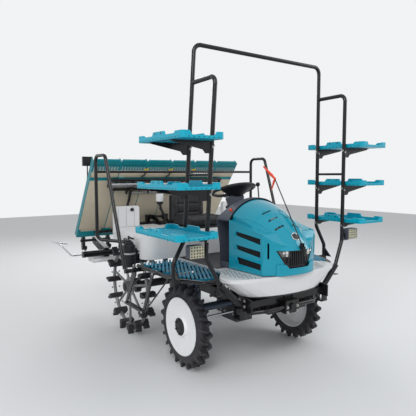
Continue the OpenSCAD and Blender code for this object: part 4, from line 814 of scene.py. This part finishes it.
# The canister's band with its clasp, its four clips and its short hose
UP = (0, 0, 1)
CANISTER_X, CANISTER_Y, BAND_Z, CLIPS_Z = -792, 660, 860, 930
BAND = [(0.0552, -0.007), (0.0568, -0.007), (0.0568, 0.007), (0.0552, 0.007), (0.0552, -0.007)]
CLIPS, FIRST_CLIP, CLIP_R, CLIP_HALF_W = 4, 0.4, 0.054, 0.007
HOSE = ((-792, 660, 976), (-792, 668, 996), (-784, 690, 1008), (-770, 706, 1000), (-748, 712, 985),
        (-722, 714, 980))


def joined(*meshes):
    """Several bmeshes as one."""
    whole = bmesh.new()
    for bm in meshes:
        merge(whole, bm)
    return whole


def route(spots):
    """Places in metres along a run of spots in millimetres."""
    return [at(*spot) for spot in spots]


dress(dark_plastic, "canister")
band_at = at(CANISTER_X, CANISTER_Y, BAND_Z)
bm = bmesh.new()
turned(bm, BAND, band_at, UP)
slab(bm, band_at + Vector((-0.012, -0.068, -0.008)), band_at + Vector((0.012, -0.054, 0.008)), 0.002)
rod(bm, band_at + Vector((-0.016, -0.062, 0)), band_at + Vector((0.016, -0.062, 0)), 0.003)
piece("canister_band", bm, zinc, "chassis")
bm = bmesh.new()
for k in range(CLIPS):
    turn = FIRST_CLIP + k * 2 * pi / CLIPS
    spot = at(CANISTER_X, CANISTER_Y, CLIPS_Z) + Vector((cos(turn), sin(turn), 0)) * CLIP_R
    slab(bm, spot - Vector((CLIP_HALF_W, CLIP_HALF_W, 0.018)),
         spot + Vector((CLIP_HALF_W, CLIP_HALF_W, 0.012)), 0.003)
clips = joined(bm, tube(route(HOSE), 0.008))
piece("canister_clips", clips, dark_plastic, "chassis", crease=50)

# The reservoir, its cap, its stand and the feed pipe beside the stand
POT_X, POT_Y, POT_Z, CAP_Z = -258, 1066, 1290, 1374
POT = [(0.0, 0.0), (0.034, 0.0), (0.040, 0.006), (0.040, 0.078), (0.036, 0.084), (0.0, 0.084)]
POT_CAP = [(0.0, 0.018), (0.020, 0.018), (0.026, 0.014), (0.026, 0.0), (0.0, 0.0)]
POT_CUP = [(0.0, 0.0), (0.036, 0.0), (0.036, -0.016), (0.022, -0.030), (0.0, -0.030)]
STAY = ((-205, 1049, 1030), (-205, 1052, 1120), (-240, 1060, 1200), (-258, 1066, 1262))
FEED = ((-258, 1066, 1264), (-250, 1080, 1210), (-190, 1088, 1130), (-176, 1070, 1010), (-184, 1050, 958))
float_white = finish("float_white", (0.68, 0.69, 0.70), 0.5, grain=(200.0, 0.2, 0.0006))
bm = bmesh.new()
turned(bm, POT, at(POT_X, POT_Y, POT_Z), UP, 36)
piece("reservoir", bm, float_white, "chassis", crease=28)
bm = bmesh.new()
turned(bm, POT_CAP, at(POT_X, POT_Y, CAP_Z), UP, 28)
turned(bm, POT_CUP, at(POT_X, POT_Y, POT_Z), UP, 28)
slab(bm, at(-214, 1046, 950), at(-196, 1052, 1040), 0.001)
stand = joined(bm, tube(route(STAY), 0.011), tube(route(FEED), 0.007))
piece("reservoir_stand", stand, dark_plastic, "chassis", crease=40)


# Hood, dash and controls
# The hood is a gloss teal moulding with side vents over dark mesh and a plate of painted shade, a plain dark
# disc in a bright ring on its nose, and headlamps. The dash is dark textured plastic.
hood_teal = finish("hood_teal", (0.0025, 0.30, 0.42), 0.17, coat=0.3, tone=(0.03, 2.0), gloss=(0.03, 5.0),
                   grain=(120.0, 0.05, 0.0006), edge=0.005)
dash_grey = finish("dash_grey", (0.075, 0.084, 0.112), 0.5, grain=(420.0, 0.4, 0.0007), edge=0.003)
dress(hood_teal, "hood")
dress(dark_plastic, "grille", "steering_column", "levers", "steering_wheel", "rear_lamp")
dress(dash_grey, "dash", "work_lamps")
VENTS = (
    # each vent's corners (y, z): rear top, front top, front foot, rear foot
    ((-279, 1119), (-548, 1087), (-549, 1043), (-282, 1087)),
    ((-282, 1013), (-549, 991), (-550, 944), (-294, 978)),
    ((-292, 918), (-554, 897), (-555, 850), (-310, 865)),
)
VENT_BACK, LONG_WIRES, CROSS_WIRES = -12, 5, 13
CHEEK_X, CHEEK_Y, CHEEK_FLARE = 302, -195.5, 25 / 334.5


def cheek(y, z, out):
    """A place on the hood's side, out millimetres off its face."""
    return at(CHEEK_X + (y - CHEEK_Y) * CHEEK_FLARE + out, y, z)


def grow(bm, faces, by):
    """Gives flat faces a thickness, by a vector."""
    grown = bmesh.ops.extrude_face_region(bm, geom=faces)["geom"]
    bmesh.ops.translate(bm, vec=by, verts=[g for g in grown if isinstance(g, bmesh.types.BMVert)])


def on_vent(vent, along, down, out, over_y=0, over_z=0):
    """A place behind a vent, at parts of its length and height and a little past its edge."""
    (ry, rz), (fy, fz), (gy, gz), (sy, sz) = vent
    top_y, top_z = ry + (fy - ry) * along, rz + (fz - rz) * along
    foot_y, foot_z = sy + (gy - sy) * along, sz + (gz - sz) * along
    return cheek(top_y + (foot_y - top_y) * down + over_y, top_z + (foot_z - top_z) * down + over_z, out)


# Behind each vent's wires, a dark plate is painted shade of the hood's inside. The wires are the real dark
# mesh.
bm = bmesh.new()
for vent in VENTS:
    corners = [on_vent(vent, 0, 0, VENT_BACK, 8, 8), on_vent(vent, 1, 0, VENT_BACK, -8, 8),
               on_vent(vent, 1, 1, VENT_BACK, -8, -8), on_vent(vent, 0, 1, VENT_BACK, 8, -8)]
    grow(bm, [bm.faces.new([bm.verts.new(c) for c in corners])], (-0.003, 0, 0))
    for k in range(1, LONG_WIRES + 1):
        part = k / (LONG_WIRES + 1)
        rod(bm, on_vent(vent, 0, part, -8, over_y=-2), on_vent(vent, 1, part, -8, over_y=2), 0.0022, 6)
    for k in range(1, CROSS_WIRES + 1):
        part = k / (CROSS_WIRES + 1)
        rod(bm, on_vent(vent, part, 0, -9, over_z=-2), on_vent(vent, part, 1, -9, over_z=2), 0.0018, 6)
piece("hood_vent_mesh_and_shade", mirrored(bm), dark_plastic, "hood")

# Raised ridges at the vents' ends, a bent ridge at each front corner, and a long crease and
# a shoulder line on each flank of the dome
VENT_RIDGES = ((1124, 1086, -268), (1022, 982, -274), (926, 872, -286))  # top z, foot z, y
SHOULDER = ((281, -465, 1139), (277.5, -520, 1129), (275, -556, 1120), (264, -577, 1108), (250, -592, 1096))
CREASE_X, CREASE_Y, CREASE_IN, CREASE_L, CREASE_STEPS = 250, -285, 85, 250, 9
CREASE_SUNK = Vector((0, 0, 0.001))
hood_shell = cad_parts["hood"]


def on_hood(x, y):
    """The place on the hood's skin above a spot, in millimetres."""
    return hood_shell.ray_cast(at(x, y, 2000), Vector((0, 0, -1)))[1]


def ball(bm, centre, radius, segments=14, rings=8):
    """A sphere."""
    bmesh.ops.create_uvsphere(bm, u_segments=segments, v_segments=rings, radius=radius,
                              matrix=Matrix.Translation(centre))


bm = bmesh.new()
for top_z, foot_z, y in VENT_RIDGES:
    slab(bm, cheek(y, foot_z, -2) - Vector((0, 0.006, 0)), cheek(y, top_z, 9) + Vector((0, 0.008, 0)), 0.004)
apex, knee = at(250, -592, 1084), at(273, -573, 995)
rod(bm, apex, at(276, -549, 1021), 0.0095, 14, 0.004)
rod(bm, apex, knee, 0.0095, 14, 0.0075)
rod(bm, knee, at(272, -575, 918), 0.0075, 14, 0.004)
for spot, size in ((apex, 0.0097), (knee, 0.0076)):
    ball(bm, spot, size)
crease_line = [on_hood(CREASE_X - CREASE_IN * k / CREASE_STEPS, CREASE_Y - CREASE_L * k / CREASE_STEPS)
               - CREASE_SUNK for k in range(CREASE_STEPS + 1)]
ridges = joined(bm, tube(crease_line, 0.0035, 8), tube(route(SHOULDER), 0.0035, 8))
piece("hood_ridges", mirrored(ridges), hood_teal, "hood", crease=45)

# Dark plates under the dome's three pairs of cooling slots, painted shade of the hood's inside seen through
# them
SLOT_YS = (-400, -475, -549)
SLOT_CORNERS = ((36, -11), (134, -11), (134, 11), (36, 11))
SLOT_DEPTH = Vector((0, 0, 0.010))
bm = bmesh.new()
for y in SLOT_YS:
    face = bm.faces.new([bm.verts.new(on_hood(x, y + step) - SLOT_DEPTH) for x, step in SLOT_CORNERS])
    grow(bm, [face], (0, 0, -0.003))
piece("hood_slot_shade_plates", mirrored(bm), dark_plastic, "hood")

# The ring and disc on the nose
BOSS_OUT = Vector((0, -0.7635, 0.6457))
RING = [(0.029, -0.002), (0.029, 0.003), (0.031, 0.0045), (0.0345, 0.0035), (0.0355, -0.002), (0.029, -0.002)]
DISC = [(0.0, 0.0028), (0.018, 0.0024), (0.029, 0.001), (0.0292, -0.002), (0.0, -0.002)]
boss_at = at(0, -634, 1093.3)
bm = bmesh.new()
turned(bm, RING, boss_at, BOSS_OUT, 56)
piece("nose_ring", bm, bright_steel, "hood", crease=60)
bm = bmesh.new()
turned(bm, DISC, boss_at, BOSS_OUT, 56)
piece("nose_disc", bm, dark_plastic, "hood", crease=40)

# Headlamp lenses are clear polycarbonate over chromed reflectors, here one glossy fluted
# face with a chromed bowl standing on it for each bulb
lamp_face = finish("headlamp_face", (0.13, 0.13, 0.125), 0.14, metallic=0.3, coat=1.0, tone=(0.5, 70.0),
                   gloss=(0.1, 30.0), grain=(90.0, 0.6, 0.002), edge=0.0)
reflector = finish("reflector_chrome", (0.78, 0.78, 0.76), 0.12, metallic=1.0,
                   grain=(90.0, 0.2, 0.001), edge=0.0)
dress(lamp_face, "headlamps")
BOWLS = ((112, 984, 12.5), (112, 963, 7.5), (140, 984, 9.5))  # x, z, radius
BOWL_OUT = (0.22, -1, 0)
nose_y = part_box("headlamps")[0].y * 1000 - FRONT_Y
bm = bmesh.new()
for x, z, size in BOWLS:
    r = size / 1000
    bowl = [(0.0, -0.002), (r * 0.6, 0.0), (r * 0.85, 0.0022), (r, 0.0026), (r, -0.004), (0.0, -0.004)]
    turned(bm, bowl, at(x, nose_y + 2.5 + (x - 90) ** 2 / 560, z), BOWL_OUT, 28, UP)
piece("headlamp_reflectors", mirrored(bm), reflector, "hood", crease=50)

# Instrument panel on the dash's slope, with a round meter, two dark windows and four switches
across = Vector((1, 0, 0))
DASH_FOOT_Y, DASH_FOOT_Z, DASH_RUN, DASH_RISE = -30, 1215, -98, 160
slope = Vector((0, DASH_RUN, DASH_RISE)).normalized()
away = Vector((0, DASH_RISE, -DASH_RUN)).normalized()
panel_mid = at(0, DASH_FOOT_Y, DASH_FOOT_Z) + slope * 0.095
METER_UP = 12
METER_GLASS = [(0.0, 0.0030), (0.026, 0.0024), (0.028, 0.0), (0.0, 0.0)]
METER_RING = [(0.028, 0.0), (0.028, 0.0042), (0.031, 0.0042), (0.032, 0.0), (0.028, 0.0)]
METER_MARKS, FIRST_MARK, MARK_STEP = 10, -120, 26.67


def laid_slab(bm, low, high, turn, place, edge):
    """A block between corners in millimetres on axes turned by a matrix, set at a place."""
    fresh = bmesh.new()
    slab(fresh, Vector(low) / 1000, Vector(high) / 1000, edge, 2)
    bmesh.ops.rotate(fresh, cent=(0, 0, 0), matrix=turn, verts=fresh.verts[:])
    bmesh.ops.translate(fresh, vec=place, verts=fresh.verts[:])
    merge(bm, fresh)


def on_panel(x, up, out):
    """A place on the instrument slope, in millimetres from the panel's middle."""
    return panel_mid + across * x / 1000 + slope * up / 1000 + away * out / 1000


def panel_slab(bm, low, high, edge):
    """A block on the instrument slope between (x, up, out) corners."""
    laid_slab(bm, low, high, Matrix((across, slope, away)).transposed(), panel_mid, edge)


bm = bmesh.new()
panel_slab(bm, (-84, -50, -1.6), (84, 50, 0.4), 0.0008)
for x in (-66, -44, 44, 66):
    panel_slab(bm, (x - 8, -40, 0), (x + 8, -14, 4), 0.002)
piece("instrument_panel", bm, dark_plastic, "chassis")
glass_black = finish("meter_glass", (0.012, 0.014, 0.016), 0.08, coat=0.8, tone=(0.02, 3.0),
                     grain=(60.0, 0.02, 0.0002), edge=0.0)
bm = bmesh.new()
turned(bm, METER_GLASS, on_panel(0, METER_UP, 0.4), away, 48)
for x in (40, -76):
    panel_slab(bm, (x, 4, 0), (x + 36, 34, 1.6), 0.0008)
piece("meter_faces", bm, glass_black, "chassis", crease=50)
bm = bmesh.new()
turned(bm, METER_RING, on_panel(0, METER_UP, 0.2), away, 48)
for k in range(METER_MARKS):
    turn = radians(FIRST_MARK + k * MARK_STEP)
    tip = across * sin(turn) + slope * cos(turn)
    rod(bm, on_panel(0, METER_UP, 2.9) + tip * 0.018, on_panel(0, METER_UP, 2.9) + tip * 0.023, 0.0006, 6)
needle_at = on_panel(0, METER_UP, 3.6)
rod(bm, needle_at, needle_at + (slope * 0.7 - across * 0.7) * 0.017, 0.0007, 6)
piece("meter_ring", bm, zinc, "chassis", crease=40)

# The red choke knob at the dash's side and a red switch on the panel
CHOKE = [(0.0, 0.030), (0.007, 0.029), (0.0115, 0.025), (0.0125, 0.019), (0.010, 0.013), (0.006, 0.010),
         (0.005, -0.002), (0.0, -0.002)]
CHOKE_OUT = (-0.714, 0, 0.70)
marker_red = finish("marker_red", (0.78, 0.07, 0.032), 0.38, edge=0.0)
bm = bmesh.new()
turned(bm, CHOKE, at(-250, -166, 1269.5), CHOKE_OUT, 32, (0, 1, 0))
panel_slab(bm, (-72, -36, 2), (-60, -20, 6.5), 0.002)
piece("choke_knob", bm, marker_red, "chassis", crease=40)

# Shroud under the steering wheel, which narrows downwards
COLUMN_LEAN = radians(18)
column_up = Vector((0, sin(COLUMN_LEAN), cos(COLUMN_LEAN)))
column_ahead = Vector((0, -cos(COLUMN_LEAN), sin(COLUMN_LEAN)))
hub = at(0, 140, 1430)
SHROUD_TOP, SHROUD_TALL, SHROUD_NARROWS = -0.058, 0.147, 0.45
shroud = bmesh.new()
slab(shroud, (-0.082, -0.052, SHROUD_TOP - SHROUD_TALL), (0.082, 0.058, SHROUD_TOP), 0.022, 4)
for v in shroud.verts:
    narrow = 1.0 - SHROUD_NARROWS * max(0.0, (SHROUD_TOP - v.co.z) / SHROUD_TALL)
    v.co.x *= narrow
    v.co.y *= narrow
column_axes = Matrix((across, -column_ahead, column_up)).transposed()
bmesh.ops.rotate(shroud, cent=(0, 0, 0), matrix=column_axes, verts=shroud.verts[:])
bmesh.ops.translate(shroud, vec=hub, verts=shroud.verts[:])
piece("column_shroud", shroud, dash_grey, "chassis", crease=40)

# The steering wheel's pad, the dish under its spokes with two open mouths, and its finger grips
PAD = [(0.0, 0.026), (0.022, 0.025), (0.040, 0.019), (0.052, 0.008), (0.054, -0.004), (0.050, -0.012),
       (0.0, -0.012)]
DISH = [(0.046, -0.070), (0.060, -0.066), (0.120, -0.032), (0.168, -0.010), (0.176, -0.004), (0.172, -0.008),
        (0.118, -0.037), (0.058, -0.072), (0.046, -0.076), (0.046, -0.070)]
DISH_HUB = [(0.0, -0.058), (0.044, -0.060), (0.052, -0.070), (0.046, -0.082), (0.0, -0.084)]
MOUTH_TURNS, MOUTH_R, MOUTH_HALF_W = (radians(215), radians(325)), 0.088, 0.085
WHEEL_R, WHEEL_TUBE_R, GRIPS = 0.190, 0.0149, 36
bm = bmesh.new()
turned(bm, PAD, hub, column_up, 48)
piece("wheel_pad", bm, dark_plastic, "steering_wheel", crease=35)
bm = bmesh.new()
turned(bm, DISH, hub, column_up, 60)
for turn in MOUTH_TURNS:
    gap_dir = across * cos(turn) + column_ahead * sin(turn)
    lean_dir = column_up.cross(gap_dir).normalized()
    mouth = [v for v in bm.verts
             if (v.co - hub).dot(gap_dir) > MOUTH_R and abs((v.co - hub).dot(lean_dir)) < MOUTH_HALF_W]
    bmesh.ops.delete(bm, geom=mouth, context="VERTS")
bmesh.ops.holes_fill(bm, edges=[e for e in bm.edges if e.is_boundary])
turned(bm, DISH_HUB, hub, column_up, 40)
piece("wheel_dish", bm, dark_plastic, "steering_wheel", crease=50)
bm = bmesh.new()
for k in range(GRIPS):
    turn = k * 2 * pi / GRIPS
    spot = hub + (across * cos(turn) + column_ahead * sin(turn)) * (WHEEL_R - WHEEL_TUBE_R)
    rod(bm, spot - column_up * 0.001, spot + column_up * 0.001, 0.004, 8)
piece("wheel_grips", bm, dark_plastic, "steering_wheel")

# Boots at the feet of the levers
BOOT = [(0.0, 0.020), (0.009, 0.020), (0.011, 0.015), (0.015, 0.012), (0.016, 0.008), (0.021, 0.005),
        (0.023, 0.0), (0.0, 0.0)]
bm = bmesh.new()
for x in (150, -205):
    turned(bm, BOOT, at(x, DASH_FOOT_Y + 0.4 * DASH_RUN, DASH_FOOT_Z + 0.4 * DASH_RISE), away, 28)
piece("lever_boots", bm, rubber, "chassis", crease=50)

# Work lamps: a yellowish cover with rows of chips, in a bent yoke
LAMP_W, LAMP_TALL = 0.120, 0.0925
CHIP = [(0.0, 0.0014), (0.0034, 0.0014), (0.0058, 0.0004), (0.0, -0.0005)]
CHIP_COLUMNS, CHIP_ROWS = 5, 4
lamp_cover = finish("lamp_cover", (0.52, 0.48, 0.34), 0.22, coat=0.5, tone=(0.18, 60.0), gloss=(0.05, 20.0),
                    grain=(140.0, 0.3, 0.001), edge=0.0)
lamp_low, lamp_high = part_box("work_lamps")
x0, x1 = lamp_high.x - LAMP_W, lamp_high.x
z0, z1 = lamp_high.z - LAMP_TALL, lamp_high.z
cover_y = lamp_low.y - 0.002
yoke_y = lamp_low.y + 0.030
bm = bmesh.new()
slab(bm, (x0 + 0.003, cover_y, z0 + 0.003), (x1 - 0.003, lamp_low.y + 0.010, z1 - 0.003), 0.0016)
piece("work_lamp_covers", mirrored(bm), lamp_cover, "chassis")
bm = bmesh.new()
for i in range(CHIP_COLUMNS):
    for k in range(CHIP_ROWS):
        chip_at = (x0 + 0.0155 + i * 0.0222, cover_y, z0 + 0.0145 + k * 0.0212)
        turned(bm, CHIP, chip_at, AHEAD, 12)
slab(bm, (x0 - 0.005, yoke_y, z0 - 0.006), (x1, yoke_y + 0.018, z0 - 0.003), 0.0008)
slab(bm, (x0 - 0.005, yoke_y, z0 - 0.006), (x0 - 0.002, yoke_y + 0.018, z0 + 0.052), 0.0008)
piece("work_lamp_chips", mirrored(bm), dark_plastic, "chassis", crease=40)

# Centre marker: a thin black rod with a flat orange tip and its folded leg
marker_foot, marker_tip = at(0, -706, 1040), at(0, -402, 1535)
marker_end, marker_leg = at(0, -268, 1632), at(0, -368, 1450)
pin = Vector((0.0075, 0, 0))
TIP_WIDEST, TIP_SWELL, TIP_END = 0.3, 1.7, 0.8
bm = bmesh.new()
rod(bm, marker_foot, marker_tip, 0.0045, 12)
rod(bm, marker_foot - pin, marker_foot + pin, 0.008, 24)
ball(bm, marker_tip, 0.009, 16, 10)
piece("marker_stem", bm, dark_plastic, "marker", stands_for=("marker_rod",), crease=50)
bm = bmesh.new()
for end, wide in ((marker_end, 0.0072), (marker_leg, 0.0054)):
    widest = marker_tip.lerp(end, TIP_WIDEST)
    rod(bm, marker_tip, widest, wide, 14, wide * TIP_SWELL)
    rod(bm, widest, end, wide * TIP_SWELL, 14, wide * TIP_END)
    ball(bm, end, wide * TIP_END)
ball(bm, marker_tip, 0.0105, 16, 10)
piece("marker_tip", bm, marker_red, "marker", crease=50)
dress(marker_red, "marker_rod")


# Spare seedling trays
# Injection-moulded polypropylene, in bright teal. A row of small drain slots runs along the
# foot of each side, and each grip is notched.
tray_teal = finish("tray_teal", (0.002, 0.36, 0.50), 0.33, coat=0.08, tone=(0.05, 3.0),
                   grain=(260.0, 0.15, 0.0005), edge=0.003)
# Slots and notches are thin dark teal slabs, painted shade where the openings are
slot_shade = finish("slot_shadow", (0.004, 0.055, 0.075), 0.6, grain=(260.0, 0.15, 0.0005), edge=0.0)
dress(tray_teal, "spare_trays")
TRAY_W, TRAY_L = 325, 622
TRAY_FROM_LADDER_X, TRAY_FROM_LADDER_Y = 21, -178
DRAINS_LONG, DRAINS_SHORT, DRAIN_PITCH, DRAIN_L = 15, 7, 38, 13
GRIP_NOTCHES = (-46, 36)
bm = bmesh.new()
for tier in range(TRAY_TIERS):
    tray_z = TRAY_FOOT_Z + TRAY_PITCH * tier
    x, y = ladder(LADDER_YS[1], tray_z)
    x0, y0 = x + TRAY_FROM_LADDER_X, y + TRAY_FROM_LADDER_Y
    for k in range(DRAINS_LONG):
        y = y0 + 40 + k * DRAIN_PITCH
        for x in (x0 - 0.4, x0 + TRAY_W - 0.4):
            slab(bm, at(x, y, tray_z + 6), at(x + 0.8, y + DRAIN_L, tray_z + 12))
    for k in range(DRAINS_SHORT):
        x = x0 + 40 + k * DRAIN_PITCH
        for y in (y0 - 0.4, y0 + TRAY_L - 0.4):
            slab(bm, at(x, y, tray_z + 6), at(x + DRAIN_L, y + 0.8, tray_z + 11))
    for notch in GRIP_NOTCHES:
        y = y0 + TRAY_L / 2 + notch
        for x in (x0 - 0.5, x0 + TRAY_W - 0.5):
            slab(bm, at(x, y, tray_z + 38), at(x + 1, y + 10, tray_z + 52))
piece("tray_slots", mirrored(bm), slot_shade, "chassis")


# Lift and planting unit
# Black painted frame, dark cases, white floats. The sloping table is teal, with beige mats
# on its back, rows of rim slots, steel rollers under it and yellow seedling stops.
table_teal = finish("table_teal", (0.003, 0.21, 0.25), 0.38, coat=0.08, tone=(0.05, 3.0),
                    grain=(260.0, 0.15, 0.0005), edge=0.002)
belt_beige = finish("belt_beige", (0.56, 0.50, 0.385), 0.7, grain=(160.0, 0.5, 0.001))
rib_pale = finish("rib_gap_pale", (0.33, 0.36, 0.33), 0.6, edge=0.0)
stop_yellow = finish("stop_yellow", (0.62, 0.42, 0.05), 0.42, edge=0.001)
dress(table_teal, "seedling_table")
dress(black_paint, "lower_links", "upper_link", "lift_barrel", "planter_frame")
dress(float_white, "floats")
dress(belt_beige, "table_belts")
TABLE_SLOPE, TABLE_TOP_Y, TABLE_TOP_Z = radians(54), 1260, 1720
LANE_W = 300
LANES = [-900 + lane * LANE_W for lane in range(6)]
MAT_STRIPS = ((128, -32.5, 194, -30.3), (236, -33.5, 905, -30.4))  # down, up, down, up
# How many in a lane, how far apart, and where the first one is
BELT_RIBS, BELT_RIB_PITCH, FIRST_RIB_DOWN = 33, 20.5, 252
RIM_SLOTS, RIM_SLOT_PITCH, FIRST_SLOT_X = 15, 18, 20
RIB_GAPS, RIB_GAP_PITCH, FIRST_GAP_X = 9, 31, 19.5


def on_table(x, down, up):
    """A place on the seedling table, in millimetres down its slope and off its face."""
    return at(x, TABLE_TOP_Y + down * cos(TABLE_SLOPE) + up * sin(TABLE_SLOPE),
              TABLE_TOP_Z - down * sin(TABLE_SLOPE) + up * cos(TABLE_SLOPE))


def table_slab(bm, low, high, edge=0.0):
    """A block in the table's slope between (x, down, up) corners."""
    laid_slab(bm, low, high, Matrix.Rotation(-TABLE_SLOPE, 3, "X"), on_table(0, 0, 0), edge)


backs, ribs, slots, gaps = bmesh.new(), bmesh.new(), bmesh.new(), bmesh.new()
for x in LANES:
    for down0, up0, down1, up1 in MAT_STRIPS:
        table_slab(backs, (x + 5, down0, up0), (x + 295, down1, up1), 0.001)
    for k in range(BELT_RIBS):
        down = FIRST_RIB_DOWN + k * BELT_RIB_PITCH
        table_slab(ribs, (x + 31, down, 3.6), (x + 269, down + 6, 6.4))
    for k in range(RIM_SLOTS):
        start_x = x + FIRST_SLOT_X + k * RIM_SLOT_PITCH
        table_slab(slots, (start_x, 34, -30.8), (start_x + 9, 46, -29.8))
    for k in range(RIB_GAPS):
        start_x = x + FIRST_GAP_X + k * RIB_GAP_PITCH
        table_slab(gaps, (start_x, 63, -29.5), (start_x + 13, 126, -28.5))
piece("lane_backs", backs, belt_beige, "table")
piece("belt_ribs", ribs, belt_beige, "table")
# The rim slots are thin dark slabs of painted shade
piece("rim_slots", slots, slot_shade, "table")
piece("rib_gap_backs", gaps, rib_pale, "table")

# Yellow seedling stops at the lanes' tops, each with a bent black lever
stops, levers = bmesh.new(), bmesh.new()
for x in (-300, 0, 300):
    table_slab(stops, (x - 20, 84, -40), (x + 18, 108, -30), 0.002)
    table_slab(stops, (x + 8, 76, -40), (x + 26, 90, -30), 0.002)
    bend = on_table(x - 12, 150, -52)
    rod(levers, on_table(x, 96, -39), bend, 0.007, 10)
    rod(levers, bend, on_table(x - 46, 176, -52), 0.007, 10)
piece("seedling_stops", stops, stop_yellow, "table")
piece("stop_levers", levers, dark_plastic, "table")

# Rollers and rods across the frame under the table, and the brackets that hold them
ROLLER_DOWN, ROLLER_UP, ROLLER_R = 266, -64, 0.026
BRACKETS = (
    # x of each, half width, (down, up) of the near corner and the far corner, rounding
    ((-445, 415), 3, (206, -76), (352, -51), 0.002),
    ((-470, -210, 54), 6, (322, -72), (396, -44), 0.003),
    ((-704, 704), 5, (202, -84), (296, -51), 0.004),
)
bm = bmesh.new()
rod(bm, on_table(-700, ROLLER_DOWN, ROLLER_UP), on_table(700, ROLLER_DOWN, ROLLER_UP), ROLLER_R, 32)
for x in (-600, -200, 200, 600):
    rod(bm, on_table(x, ROLLER_DOWN, ROLLER_UP), on_table(x + 12, ROLLER_DOWN, ROLLER_UP), 0.0275, 32)
rod(bm, on_table(-470, 384, -56), on_table(60, 384, -56), 0.011, 20)
piece("table_rollers", bm, bright_steel, "planter")
bm = bmesh.new()
rod(bm, on_table(-640, 334, -60), on_table(640, 334, -60), 0.014, 24)
for xs, half, low, high, edge in BRACKETS:
    for x in xs:
        table_slab(bm, (x - half, *low), (x + half, *high), edge)
piece("roller_brackets", bm, black_paint, "planter")

# Bolts of the planting cases, each seated where a ray meets a case's flat side
CASE_XS, CASE_RAY = (-0.6, 0.0, 0.6), 0.12
BOLT_BACKS, BOLT_LIFTS = (0.2, 0.4, 0.6, 0.8), (0.3, 0.7)  # parts of a case's length and height
case_low, case_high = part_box("drive_cases")
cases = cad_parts["drive_cases"]
bm = bmesh.new()
for lane_x in CASE_XS:
    for side in (-1, 1):
        for back in BOLT_BACKS:
            for lift in BOLT_LIFTS:
                y = case_low.y + (case_high.y - case_low.y) * back
                z = case_low.z + (case_high.z - case_low.z) * lift
                start = Vector((lane_x + side * CASE_RAY, y, z))
                hit, spot, facing, _ = cases.ray_cast(start, Vector((-side, 0, 0)), distance=CASE_RAY)
                if hit and abs(facing.x) > 0.98:
                    bolt(bm, spot, (side, 0, 0), 0.012, 0.007)
piece("case_bolts_rear", bm, zinc, "planter", crease=40)
